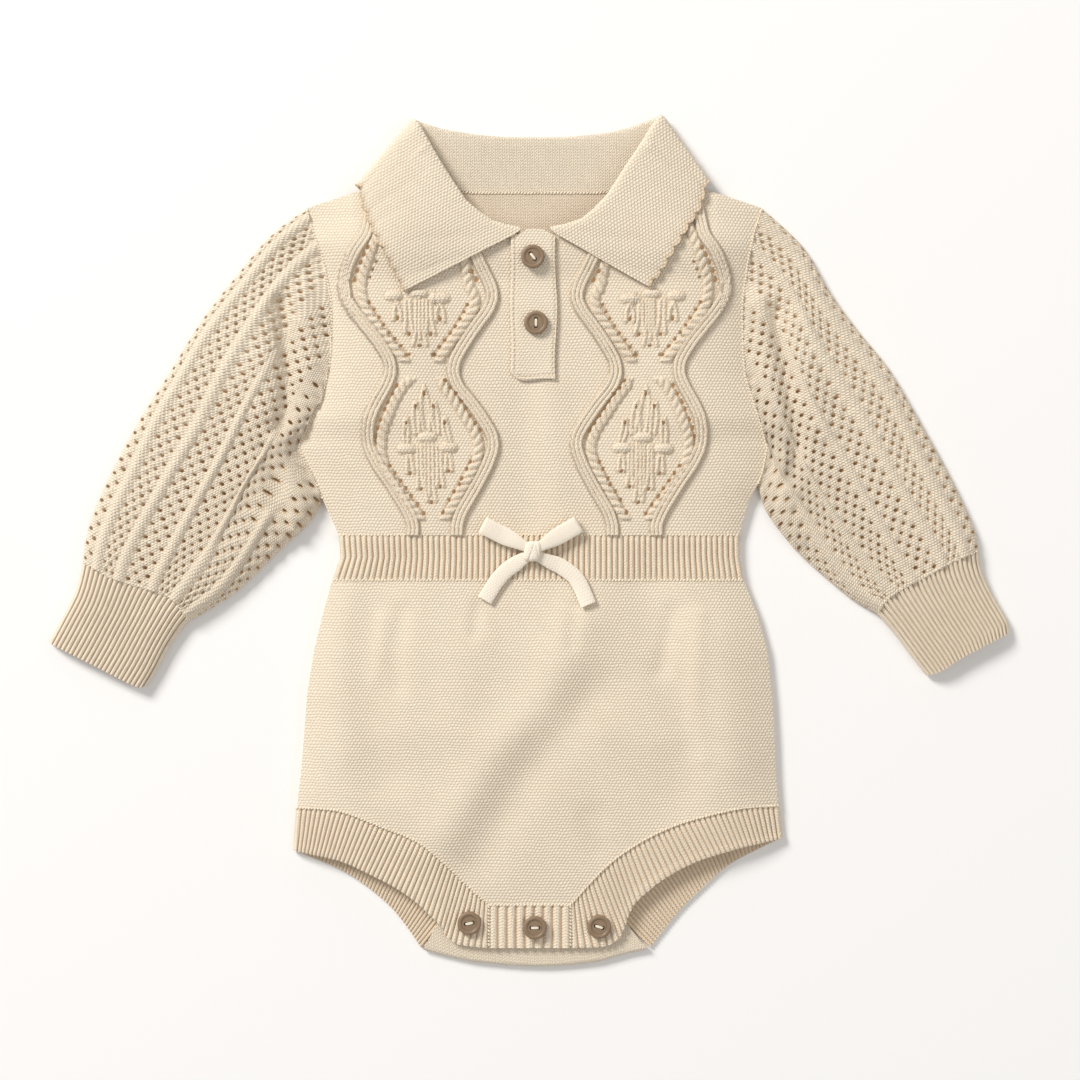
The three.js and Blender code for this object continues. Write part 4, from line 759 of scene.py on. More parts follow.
def bodiceRelief(x, y):
    side = np.abs(x)
    rise, shade, vee = np.zeros_like(x), np.zeros_like(x), np.zeros_like(x)
    u, v = x.copy(), y.copy()
    outer, inner = column(cableLines, y, 1), column(cableLines, y, 2)
    middle = 2 * np.abs(side - (outer + inner) / 2) / (outer - inner)
    rise += 0.7 * np.maximum(0, 1 - middle**2)
    for index in (1, 2):
        d, run = besideLine(cableLines, index, side, y)
        half = cableSpec["half"]
        cords = np.abs(np.cos(math.pi * d / cableSpec["cord"])) ** 0.7
        inside = np.abs(d) < half
        body = smooth01((half + 0.35 - np.abs(d)) / 0.6)
        rise = np.maximum(rise, cableSpec["rise"] * (0.5 + 0.5 * cords) * body)
        shade = np.where(inside, 0.42 * (1 - cords) ** 2, shade)
        shade = np.maximum(shade, 0.3 * np.exp(-(((np.abs(d) - half - 0.35) / 0.55) ** 2)))
        vee = np.where(inside, 1.0, vee)
        u, v = np.where(inside, (d / cableSpec["cord"] + 0.5) * 1.7, u), np.where(inside, run * 0.75, v)
    for line in slits:
        d = distanceToLine(side, y, line)
        rise -= 0.7 * np.exp(-((d / 0.6) ** 2))
        shade = np.maximum(shade, 0.5 * np.exp(-((d / 0.62) ** 2)))
    for number, table in enumerate(braids):
        slant = braidSpec["slant"] * (1 if number % 2 else -1)
        rows = np.asarray(table, float)
        fade = smooth01((y - rows[0, 0]) / 1.5) * smooth01((rows[-1, 0] - y) / 1.5)
        d, run = besideLine(table, 1, side, y, 1.2)
        half = braidSpec["half"]
        body = clip01(1 - (d / half) ** 4) ** 0.5 * fade
        turn = math.pi * (run / braidSpec["pitch"] + slant * d / half)
        crest = np.abs(np.sin(turn))
        rise = np.maximum(rise, body * braidSpec["rise"] * (0.4 + 0.6 * crest**0.6))
        shade = np.where(body > 0.3, 0.55 * (1 - crest) ** 2.5, shade)
        shade = np.maximum(shade, 0.25 * fade * np.exp(-(((np.abs(d) - half - 0.2) / 0.5) ** 2)))
        vee = np.where(body > 0.3, 0.7, vee)
    for line in strands:
        d = distanceToLine(side, y, line)
        body = clip01(1 - (d / strandSpec["half"]) ** 2) ** 0.5
        rise = np.maximum(rise, body * strandSpec["rise"])
        shade = np.where(body > 0.2, 0.0, np.maximum(shade, 0.42 * np.exp(-(((d - 1.1) / 0.4) ** 2))))
    for cx, cy, halfX, halfY in wraps:
        spread = np.abs((side - cx) / halfX) ** 2.6 + np.abs((y - cy) / halfY) ** 2.2
        body = clip01(1 - spread) ** 0.5
        cord = np.abs(np.cos(math.pi * (side - cx) / wrapSpec["cord"])) ** 0.6
        wrapped = np.maximum(rise * (1 - body), body * wrapSpec["rise"] * (0.84 + 0.16 * cord))
        rise = np.where(spread < 1, wrapped, rise)
        shade = np.where(spread < 1, 0.4 * (1 - cord) ** 2, shade)
        shade = np.maximum(shade, 0.4 * np.exp(-(((np.sqrt(spread) - 1.06) / 0.09) ** 2)))
    for cx, cy, halfX, halfY in eyelets:
        d = np.hypot((side - cx) / halfX, (y - cy) / halfY) / eyeletSpec["size"]
        pit = smooth01((1.35 - d) / 0.6)
        lip = eyeletSpec["lip"] * np.exp(-(((d - 1.7) / 0.35) ** 2))
        rise = rise * (1 - pit) - eyeletSpec["depth"] * pit + lip
        shade = np.maximum(shade, pit)
    return rise, np.minimum(shade, 1.0), vee, u, v


def bodicePlace(height, topX):
    share = (height - waistTop) / (shoulderY - waistTop)
    edge = np.where(topX < 0, -column(bodyEdge, height, 1), column(bodyEdge, height, 2))
    side = np.abs(topX)
    x = np.sign(topX) * np.where(side < 30, side, 30 + (side - 30) * (edge - 30) / (shoulderX - 30))
    return x, mix(waistTop, neckHeight(topX), share)


def bodiceFront():
    half = np.r_[np.linspace(0, slotHalf, 9), np.arange(slotHalf + 0.8, 17, 1.0), np.arange(17, 96, 0.6),
                 np.linspace(96.5, shoulderX, 10)]
    topX = np.r_[-half[::-1], half[1:]]
    height = np.linspace(waistTop, shoulderY, 250)
    h, t = np.meshgrid(height, topX, indexing="ij")
    x, y = bodicePlace(h, t)
    rise, shade, vee, u, v = bodiceRelief(x, y)
    top = frontTop(x, y)
    middle = lambda grid: (grid[:-1, :-1] + grid[1:, 1:]) / 2
    keep = ~((np.abs(middle(x)) < slotHalf) & (middle(y) > slotBottom))
    outer = gridPart(stackXyz(x, y, top + rise), np.stack([u, v], axis=-1), shade, vee, keep)
    few = np.r_[-half[::-1][::6], 0, half[::6]]
    few = np.unique(np.r_[few, -slotHalf, slotHalf, -shoulderX, shoulderX])
    coarse = height[::5] if len(height) % 5 == 1 else np.r_[height[:-1:5], height[-1]]
    h, t = np.meshgrid(coarse, few, indexing="ij")
    x, y = bodicePlace(h, t)
    keep = ~((np.abs(middle(x)) < slotHalf) & (middle(y) > slotBottom))
    inner = gridPart(stackXyz(x, y, frontTop(x, y) - wall), np.stack([x, y], axis=-1), 0.25, 1.0, keep)
    addPiece("bodiceFront", zippedShell(outer, inner), bodyKnit, ["bodice_front"])


def bodiceBack():
    half = np.r_[np.linspace(0, 48, 25), np.linspace(50, shoulderX, 30)]
    topX = np.r_[-half[::-1], half[1:]]
    h, t = np.meshgrid(np.linspace(waistTop, shoulderY, 60), topX, indexing="ij")
    edge = np.where(t < 0, -column(bodyEdge, h, 1), column(bodyEdge, h, 2))
    x = t / shoulderX * edge
    topY = np.where(np.abs(t) < 51.4, column(backSeam, np.abs(t), 1), neckHeight(t))
    y = mix(waistTop, topY, (h - waistTop) / (shoulderY - waistTop))
    lift = backLift(x, y)
    uv = np.stack([x, y], axis=-1)
    part = gridShell(stackXyz(x, y, lift + wall), stackXyz(x, y, lift), uv, 0.18, 1.0, innerVee=0.0)
    addPiece("bodiceBack", part, bodyKnit, ["bodice_back"])


bodiceFront()
bodiceBack()

# waistband and shorts
waistSpec = {"ribs": 72, "rise": 1.4, "join": 0.03}


def ribWave(t, count):
    return np.abs(np.sin(math.pi * count * t)) ** 0.8


def ribLine(u, y):
    # the ribs run straight in the middle and follow the waist at both ends
    straight = mix(column(bodyEdge, 0 * y, 1), column(bodyEdge, 0 * y, 2), u)
    return mix(straight, mix(column(bodyEdge, y, 1), column(bodyEdge, y, 2), u), np.abs(2 * u - 1) ** 2)


def waistBand():
    levels = np.linspace(waistBottom + waistSpec["join"], waistTop - waistSpec["join"], 18)
    u, y = np.meshgrid(np.linspace(0, 1, waistSpec["ribs"] * 8 + 1), levels)
    x = ribLine(u, y)
    wave = ribWave(u, waistSpec["ribs"])
    top = frontTop(x, y)
    uv = np.stack([u * waistSpec["ribs"] * ribStitch, y], axis=-1)
    ends = smooth01((np.abs(y) - 8.2) / 2.2)
    outer = stackXyz(x, y, top + waistSpec["rise"] * (wave - 0.72) * (1 - 0.5 * ends) + 0.3 * (1 - ends))
    part = gridShell(outer, stackXyz(x, y, top - wall), uv, 0.7 * (1 - wave) ** 1.8, 1.0)
    addPiece("waistRibFront", part, ribKnit, ["waist_rib_front"])
    u, y = np.meshgrid(np.linspace(0, 1, waistSpec["ribs"] * 4 + 1), levels[::3])
    x = ribLine(u, y)
    uv = np.stack([u * waistSpec["ribs"] * ribStitch, y], axis=-1)
    under = 0.3 * (1 - ribWave(u, waistSpec["ribs"]))
    part = gridShell(stackXyz(x, y, wall), stackXyz(x, y, under), uv, 0.0, 1.0)
    addPiece("waistRibBack", part, ribKnit, ["waist_rib_back"])


def shortsPlan(legs, k, down):
    left, right = rounded(legs["left"], 10), rounded(legs["right"], 10)[::-1]
    crotch = [mix(left[10], right[0], t) for t in (0.25, 0.5, 0.75)]
    hem = np.concatenate([left, crotch, right])
    hemX, hemY = np.interp(k, np.arange(25), hem[:, 0]), np.interp(k, np.arange(25), hem[:, 1])
    y = mix(waistBottom, hemY, down)
    hemShare = (hemX - column(bodyEdge, hemY, 1)) / (column(bodyEdge, hemY, 2) - column(bodyEdge, hemY, 1))
    share = mix(k / 24, hemShare, down)
    return mix(column(bodyEdge, y, 1), column(bodyEdge, y, 2), share), y


# small soft folds of the shorts: rise, spread, line
shortsFolds = [
    (-0.9, 4.6, [[-63, -26], [-66, -44], [-65, -62]]), (0.7, 4.2, [[-72, -30], [-76, -58]]),
    (-0.8, 3.6, [[-27, -24], [-29, -36]]), (-0.7, 3.8, [[19, -24], [17, -42]]),
    (-0.9, 4.4, [[66, -26], [60, -54]]), (0.8, 4.6, [[78, -28], [76, -70], [80, -96]]),
]


def shorts():
    k, down = np.meshgrid(np.linspace(0, 24, 193), np.linspace(1, 0, 120))
    x, y = shortsPlan(frontLeg, k, down)
    top = frontTop(x, y)
    for rise, spread, line in shortsFolds:
        top = top + rise * np.exp(-((distanceToLine(x, y, line) / spread) ** 2))
    uv = np.stack([x, y], axis=-1)
    part = gridShell(stackXyz(x, y, top), stackXyz(x, y, top - wall), uv, innerShade=0.2)
    addPiece("shortsFront", part, bodyKnit, ["shorts_front"])
    k, down = np.meshgrid(np.linspace(0, 24, 97), np.linspace(1, 0, 60))
    x, y = shortsPlan(backLeg, k, down)
    uv = np.stack([x, y], axis=-1)
    part = gridShell(stackXyz(x, y, wall), stackXyz(x, y, 0), uv, 0.2, 1.0, innerVee=0.0)
    addPiece("shortsBack", part, bodyKnit, ["shorts_back"])


waistBand()
shorts()

# openwork sleeves
sleeveSpec = {"row": 1.2, "holeEvery": 6, "ridgeHalf": 2.7, "ridgeRise": 1.5, "bobble": 0.75,
              "topWidth": 140, "endWidth": 58}
holeReach = {"across": 0.74, "along": 0.68, "corner": 0.5, "uneven": 0.13, "wide": 0.26}
# plain ridges along the sleeve: share along, share across
ridgeLines = [
    [[0, 0.03], [0.22, 0.05], [0.4, 0.055], [0.57, 0.07], [0.74, 0.11], [1, 0.14]],
    [[0, 0.12], [0.19, 0.15], [0.37, 0.19], [0.52, 0.23], [0.73, 0.28], [1, 0.335]],
    [[0, 0.22], [0.17, 0.27], [0.3, 0.33], [0.4, 0.38], [0.5, 0.42], [0.6, 0.46],
     [0.73, 0.51], [0.87, 0.57], [1, 0.61]],
    [[0, 0.42], [0.26, 0.55], [0.36, 0.62], [0.49, 0.69], [0.67, 0.75], [1, 0.8]],
    [[0, 0.74], [0.14, 0.81], [0.31, 0.83], [0.52, 0.88], [0.66, 0.91], [0.8, 0.935], [1, 0.95]],
]
bandCells = [4, 8, 8, 10, 8, 6]
ridgeCells = 4


def sleeveLines(side):
    spec = sleeves[side]
    index, outward = (1, -0.05) if side == "left" else (2, 0.05)
    armhole = [[float(column(bodyEdge, y, index)) + outward, y] for y in spec["seamHeights"]]
    return (
        np.array(armhole, float), rounded(spec["join"], 12),
        rounded([armhole[0]] + spec["upper"][1:], 24), rounded([armhole[12]] + spec["lower"][1:], 24),
    )


def quarterRound(t):
    return np.sqrt(1 - (1 - clip01(t)) ** 2)


def sleeveWidth(v):
    return mix(sleeveSpec["topWidth"], sleeveSpec["endWidth"], v)


def acrossShare(v):
    # share across the sleeve of each column line
    width = sleeveWidth(v)
    marks = [np.zeros_like(v)]
    previous = np.zeros_like(v)
    for k, line in enumerate(ridgeLines + [None]):
        centre = np.ones_like(v) if line is None else np.interp(v, *np.asarray(line, float).T)
        half = 0 if line is None else sleeveSpec["ridgeHalf"] / width
        before = centre - half
        for step in range(1, bandCells[k] + 1):
            marks.append(mix(previous, before, step / bandCells[k]))
        if line is not None:
            for step in range(1, ridgeCells + 1):
                marks.append(mix(before, centre + half, step / ridgeCells))
            previous = centre + half
    return np.array(marks)


def sleeveSurface(side):
    armhole, joinLine, upperLine, lowerLine = sleeveLines(side)
    v = np.linspace(0, 1, 241)
    shares = acrossShare(v)
    plan = patch(armhole, joinLine, upperLine, lowerLine, shares, np.broadcast_to(v, shares.shape))
    steps = np.hypot(np.diff(plan[..., 0], axis=1), np.diff(plan[..., 1], axis=1))
    toCuff = np.concatenate([np.cumsum(steps[:, ::-1], axis=1)[:, ::-1], np.zeros((len(steps), 1))], axis=1)
    rows = int(toCuff.max() / sleeveSpec["row"]) + 2
    reach = np.arange(rows) * sleeveSpec["row"]
    columns = len(shares)
    vGrid, uGrid = np.zeros((rows, columns)), np.zeros((rows, columns))
    for c in range(columns):
        vGrid[:, c] = np.interp(reach, toCuff[c][::-1], v[::-1])
        uGrid[:, c] = np.interp(vGrid[:, c], v, shares[c])
    inside = reach[:, None] < toCuff[:, 0][None, :] - 0.05
    return armhole, joinLine, upperLine, lowerLine, uGrid, vGrid, inside, reach


def sleeveHeights(u, v, side, face, x, y):
    width = sleeveWidth(v)
    nearEdge = np.minimum(u, 1 - u) * width
    q = quarterRound(nearEdge / 2.6)
    if face == "back":
        return tubeMiddle - tubeMiddle * q, tubeMiddle - tubeMiddle * q + 1.6 * q
    body = 4 + (1 - np.abs(2 * u - 1) ** 5) * mix(1.9, mix(6.2, 4.6, smooth01(v)), smooth01(v / 0.3))
    for rise, spread, line in sleeveFolds[side]:
        body = body + rise * np.exp(-((distanceToLine(x, y, line) / spread) ** 2))
    body = np.minimum(body, 12.4)
    top = tubeMiddle + (np.maximum(body, 4.2) - tubeMiddle) * q
    return top, tubeMiddle + (np.maximum(body, 4.2) - 1.7 - tubeMiddle) * q


# soft folds of the sleeves: rise, spread, line
sleeveFolds = {
    "left": [
        (-3.6, 3.6, [[-121, 122], [-119, 98], [-118.4, 84.5], [-119.4, 68.6], [-123, 60]]),
        (2.4, 6.0, [[-110, 126], [-107, 100], [-107.6, 76], [-112, 62]]),
        (1.6, 7.0, [[-130, 116], [-129, 92], [-131, 70]]),
        (2.6, 4.2, [[-124.4, 55.9], [-120.5, 49.9], [-114.3, 38.1], [-110, 25.9], [-115.2, 13.4]]),
        (-3.4, 3.4, [[-113, 54], [-109, 46], [-106, 37]]), (-2.2, 4.5, [[-129, 52], [-124, 38], [-123, 24]]),
    ],
    "right": [
        (-3.2, 3.8, [[115.2, 117.6], [119, 94], [122.9, 69.6], [125.3, 53.8], [121.4, 37.9]]),
        (2.2, 5.5, [[107, 122], [110, 96], [114, 72], [116, 58]]),
        (1.6, 7.0, [[127, 110], [132, 84], [135, 62]]),
        (2.2, 4.6, [[119, 46], [119, 32], [118, 22], [124, 8]]),
        (-2.8, 3.6, [[113, 56], [112, 48], [110, 40]]),
    ],
}


def sleeveLayer(side, face):
    armhole, joinLine, upperLine, lowerLine, u, v, inside, reach = sleeveSurface(side)
    rows, columns = u.shape
    every = sleeveSpec["holeEvery"]
    holeAt = np.zeros((rows, columns), bool)
    start = 0
    for band, count in enumerate(bandCells):
        for n, c in enumerate(range(start + 1, start + count, 2)):
            phase = (n + band) % 2 * (every // 2)
            holeAt[phase + 2::every, c] = True
        start += count + ridgeCells
    for shiftRow in (-1, 0, 1):
        for shiftColumn in (-1, 0, 1):
            clear = np.zeros_like(inside)
            rowRange = slice(1 + shiftRow, rows - 1 + shiftRow)
            columnRange = slice(1 + shiftColumn, columns - 1 + shiftColumn)
            clear[1:-1, 1:-1] = inside[rowRange, columnRange]
            holeAt &= clear
    plan = lambda uu, vv: patch(armhole, joinLine, upperLine, lowerLine, uu, vv)

    def place(uu, vv, lift):
        xy = plan(uu, vv)
        x, y = xy[..., 0], xy[..., 1]
        outerZ, innerZ = sleeveHeights(uu, vv, side, face, x, y)
        inset = 1.4 / sleeveWidth(vv)
        xyIn = plan(mix(inset, 1 - inset, uu), vv)
        nearEdge = np.minimum(uu, 1 - uu) * sleeveWidth(vv)
        lifted = outerZ + lift * smooth01(nearEdge / 3) if face == "front" else outerZ
        return stackXyz(x, y, lifted), stackXyz(xyIn[..., 0], xyIn[..., 1], innerZ)

    # ridges stand proud, a bobble lies between each pair of eyelets
    ridge, bobble = np.zeros((rows, columns)), np.zeros((rows, columns))
    r, c = np.meshgrid(np.arange(rows), np.arange(columns), indexing="ij")
    start = 0
    for band, count in enumerate(bandCells):
        for offset in range(1, count):
            phase = ((offset - 1) // 2 + band) % 2 * (every // 2) + 2
            swing = np.cos(2 * math.pi * (np.arange(rows) - phase) / every)
            between = 0.2 + 0.25 * np.cos(4 * math.pi * np.arange(rows) / every)
            bobble[:, start + offset] = -swing if offset % 2 else between
        start += count
        fade = smooth01((v[:, min(start, columns - 1)] - 0.16) / 0.2) if band > 1 else 1.0
        for step in range(1, ridgeCells):
            if start + step < columns:
                ridge[:, start + step] = fade * math.sin(math.pi * step / ridgeCells) ** 0.7
        start += ridgeCells
    uneven = 0.22 * np.sin(3.1 * r + 1.7 * c) * np.sin(1.3 * r - 2.1 * c)
    lift = ridge * sleeveSpec["ridgeRise"] + bobble * sleeveSpec["bobble"] + uneven
    outer, inner = place(u, v, lift)
    index = np.arange(rows * columns).reshape(rows, columns)
    quads = gridFaces(rows, columns).reshape(rows - 1, columns - 1, 4)
    taken = np.zeros((rows - 1, columns - 1), bool)
    hr, hc = np.nonzero(holeAt)
    for a in (0, 1):
        for b in (0, 1):
            taken[hr - a, hc - b] = True
    faces = [quads[~taken & (inside[:-1, :-1] | inside[:-1, 1:])]]
    around = [(-1, -1), (-1, 0), (-1, 1), (0, 1), (1, 1), (1, 0), (1, -1), (0, -1)]
    acrossMm = lambda uu, vv: (uu - 0.5) * sleeveWidth(vv)
    alongMm = np.broadcast_to(-reach[:, None], u.shape)
    base, count = rows * columns, len(hr)
    outerPoints, innerPoints = [outer.reshape(-1, 3)], [inner.reshape(-1, 3)]
    uvPoints = [np.stack([acrossMm(u, v).ravel(), alongMm.ravel()], axis=-1)]
    nearTop = (1 - smooth01(v[hr, hc] / 0.3)) * (1 - smooth01((u[hr, hc] - 0.08) / 0.25))
    size = 0.94 + holeReach["uneven"] * np.sin(1.7 * hr + 2.3 * hc) + holeReach["wide"] * nearTop
    for n, (dr, dc) in enumerate(around):
        share = size * holeReach["corner" if dr and dc else "along" if dr else "across"]
        uu = mix(u[hr, hc], u[hr + dr, hc + dc], share)
        vv = mix(v[hr, hc], v[hr + dr, hc + dc], share)
        ringOuter, ringInner = place(uu, vv, np.full_like(uu, -0.5 * sleeveSpec["bobble"]))
        outerPoints.append(ringOuter)
        innerPoints.append(ringInner)
        ringAlong = mix(alongMm[hr, hc], alongMm[hr + dr, hc + dc], share)
        uvPoints.append(np.stack([acrossMm(uu, vv), ringAlong], axis=-1))
        m = (n + 1) % 8
        a, b = index[hr + dr, hc + dc], index[hr + around[m][0], hc + around[m][1]]
        ring = base + np.arange(count)
        faces.append(np.stack([a, b, ring + m * count, ring + n * count], axis=1))
    faces, uvPoints = np.concatenate(faces), np.concatenate(uvPoints)
    shade = np.concatenate([np.clip(-0.25 * lift, 0, 1).ravel(), np.full(8 * count, 0.4)])
    if face == "back":
        faces = faces[:, ::-1]
    shared = {"faces": faces, "uv": uvPoints[faces], "vee": np.zeros(len(shade))}
    return (
        {**shared, "points": np.concatenate(outerPoints), "shade": shade},
        {**shared, "points": np.concatenate(innerPoints), "shade": np.full(len(shade), 0.78)},
    )


def sleeve(side):
    frontOuter, frontInner = sleeveLayer(side, "front")
    backOuter, backInner = sleeveLayer(side, "back")
    outer = joinParts([frontOuter, backOuter])
    inner = joinParts([frontInner, backInner])
    uv = np.zeros((len(outer["points"]), 2))
    uv[outer["faces"].ravel()] = outer["uv"].reshape(-1, 2)
    layers = mergedLayers([outer["points"], inner["points"]], outer["faces"], uv,
                          [outer["shade"], inner["shade"]], [outer["vee"], inner["vee"]])
    title = side.capitalize()
    addPiece(f"sleeve{title}", pairedShell(*layers), openKnit, [f"sleeve_{side}"])


sleeve("left")
sleeve("right")

# cuffs
cuffSpec = {"ribs": 24, "rise": 1.5}


def cuff(side):
    spec = sleeves[side]
    joinLine = rounded(spec["join"], 12)
    hem = rounded(spec["hem"], 12)
    gap = hem - joinLine
    start = joinLine + 0.05 * gap / np.linalg.norm(gap, axis=1, keepdims=True)
    upper = rounded([start[0].tolist()] + spec["cuffUpper"][1:-1] + [hem[0].tolist()], 8)
    lower = rounded([start[-1].tolist()] + spec["cuffLower"][1:-1] + [hem[-1].tolist()], 8)
    frontU = np.linspace(0, 1, cuffSpec["ribs"] * 8 + 1)
    backU = np.linspace(1, 0, cuffSpec["ribs"] * 4 + 1)[1:]
    u1 = np.r_[frontU, backU]
    isBack = np.r_[np.zeros(len(frontU)), np.ones(len(backU))]
    u, v = np.meshgrid(u1, np.linspace(0, 1, 26))
    back = np.broadcast_to(isBack, u.shape)
    xy = patch(start, hem, upper, lower, u, v)
    span = patch(start, hem, upper, lower, 1 + 0 * u, v) - patch(start, hem, upper, lower, 0 * u, v)
    width = np.hypot(span[..., 0], span[..., 1])
    q = quarterRound(np.minimum(u, 1 - u) * width / 2.4)
    wave = ribWave(u, cuffSpec["ribs"])
    body = 4 + (1 - np.abs(2 * u - 1) ** 5) * mix(4.2, 2.6, v)
    top = tubeMiddle + (body + cuffSpec["rise"] * (wave - 0.72) - tubeMiddle) * q
    bottom = tubeMiddle - tubeMiddle * q + 0.25 * (1 - wave) * q
    z = np.where(back > 0.5, bottom, top)
    inset = 1.4 / width
    xyIn = patch(start, hem, upper, lower, mix(inset, 1 - inset, u), v)
    underIn = tubeMiddle - (tubeMiddle - 1.6) * q
    zIn = np.where(back > 0.5, underIn, tubeMiddle + (body - 1.7 - tubeMiddle) * q)
    along = v * 62
    uv = np.stack([np.where(back > 0.5, -1, 1) * u * cuffSpec["ribs"] * ribStitch, -along], axis=-1)
    shade = 0.3 * (1 - wave) ** 2
    outer = stackXyz(xy[..., 0], xy[..., 1], z)
    inner = stackXyz(xyIn[..., 0], xyIn[..., 1], zIn)
    part = gridShell(outer, inner, uv, shade, 1.0, innerShade=0.3)
    addPiece(f"cuff{side.capitalize()}", part, ribKnit, [f"cuff_{side}"])


cuff("left")
cuff("right")

# collar
collarSpec = {"stations": 640, "leafSteps": 22, "lobe": 6.05, "notch": 1.7, "serration": 2.6, "rowTurn": 27}


def collar():
    table = np.asarray(collarStations, float)
    edgeSteps = np.hypot(*np.diff(table[:, 4:6], axis=0).T)
    foldSteps = np.hypot(*np.diff(table[:, 2:4], axis=0).T)
    chord = np.r_[0, np.cumsum(edgeSteps + 0.5 * foldSteps)]
    place = np.linspace(0, chord[-1], collarSpec["stations"])
    place = np.unique(np.r_[place, chord])
    rows = np.stack([np.interp(place, chord, table[:, k]) for k in range(7)], axis=1)
    seam, fold, edge, turn = rows[:, 0:2], rows[:, 2:4], rows[:, 4:6].copy(), rows[:, 6]
    # scallops along the long outer edge
    run = np.r_[0, np.cumsum(np.hypot(*np.diff(edge, axis=0).T))]
    lobes = np.abs(np.sin(math.pi * run / collarSpec["lobe"] + 0.3 + 0.5 * np.sin(run / 17)))
    inward = fold - edge
    inward = inward / np.linalg.norm(inward, axis=1, keepdims=True)
    edge += inward * (collarSpec["notch"] * (1 - lobes) ** 1.3)[:, None]
    angle = np.radians(turn)
    share = np.cos(angle)
    leafTop = lambda x, y: frontTop(x, y) + cableRise + 0.4 + collarWall / 2
    standRise = np.where(share > 0, frontTop(seam[:, 0], seam[:, 1]) - 0.9 - stackMiddle, 1)
    leafRise = np.where(share > 0, leafTop(seam[:, 0], seam[:, 1]) - stackMiddle,
                        stackMiddle - collarWall / 2)
    stand, leaf = stackMiddle + share * standRise, stackMiddle + share * leafRise
    grid = []
    for k in range(len(rows)):
        before, after = fold[max(0, k - 1)], fold[min(len(rows) - 1, k + 1)]
        side = -1 if seam[k, 0] < 0 else 1
        s, c = math.sin(angle[k]), math.cos(angle[k])
        outward = np.array([0.74 * side * s, 0.67 * s, c])
        drop = 1.25 * side if 60 < turn[k] < 120 else 0
        tangent = np.array([*(after - before), drop])
        ahead = np.cross(tangent, outward)
        ahead[2] = 0
        ahead /= max(np.linalg.norm(ahead), 1e-9)
        radius = mix(abs(leaf[k] - stand[k]) / 2, 1.3, s)
        centre = np.array([fold[k, 0], fold[k, 1], (stand[k] + leaf[k]) / 2]) - ahead * radius
        turned = lambda degrees: centre - outward * radius * math.cos(math.radians(degrees)) \
            + ahead * radius * math.sin(math.radians(degrees))
        foot = np.array([seam[k, 0], seam[k, 1], stand[k]])
        overLeaf = leafTop(edge[k, 0], edge[k, 1]) - stackMiddle
        edgeBed = overLeaf if angle[k] < 1.5 else stackMiddle - collarWall / 2
        tip = np.array([edge[k, 0], edge[k, 1], stackMiddle + c * edgeBed])
        line = [mix(foot, turned(0), t) for t in (0, 0.3, 0.6, 0.85)]
        line += [turned(d) for d in (10, 35, 60, 85, 110, 135, 160)]
        for t in np.linspace(0, 1, collarSpec["leafSteps"] + 1)[1:]:
            point = mix(turned(180), tip, t)
            if turn[k] == 0:
                point[2] = max(point[2], float(leafTop(point[0], point[1])))
            line.append(point)
        grid.append(line)
    middle = np.array(grid)
    for _ in range(4):
        middle[1:-1, :, 2] = (middle[:-2, :, 2] + 2 * middle[1:-1, :, 2] + middle[2:, :, 2]) / 4
    widths = np.linalg.norm(np.diff(middle, axis=1), axis=2)
    down = np.concatenate([np.zeros((len(middle), 1)), np.cumsum(widths, axis=1)], axis=1)
    leafEdge = down[:, -1:] - down
    # rows of the leaf run along its front edge, the stand inside is plain knit
    sign = np.where(middle[..., 0] < 0, 1.0, -1.0)
    c, s = math.cos(math.radians(collarSpec["rowTurn"])), math.sin(math.radians(collarSpec["rowTurn"]))
    leafUv = np.stack([sign * middle[..., 0] * c + middle[..., 1] * s,
                       middle[..., 1] * c - sign * middle[..., 0] * s], axis=-1)
    across = np.broadcast_to(np.arange(middle.shape[1])[None, :], down.shape)
    isStand = (across < 8) | (np.broadcast_to(turn[:, None], down.shape) > 90)
    uv = np.where(isStand[..., None], middle[..., :2], leafUv)
    serration = np.abs(np.sin(math.pi * (middle[..., 0] + middle[..., 1]) / collarSpec["serration"]))
    sewnLine = 0.3 * np.exp(-(((leafEdge - 1.7) / 0.5) ** 2))
    rise = 0.35 * np.exp(-((leafEdge / 0.8) ** 2)) * serration - sewnLine
    shade = 0.16 * np.exp(-(((leafEdge - 1.7) / 0.6) ** 2)) + 0.5 * np.exp(-((leafEdge / 0.4) ** 2))
    part = bentSheet(middle, collarWall, uv, -1, rise, 0.0, shade, isStand.astype(float), 0.1)
    addPiece("collarCloth", part, collarKnit, ["collar"])


collar()

# placket
placketSpec = {"columns": 49, "rows": 130}


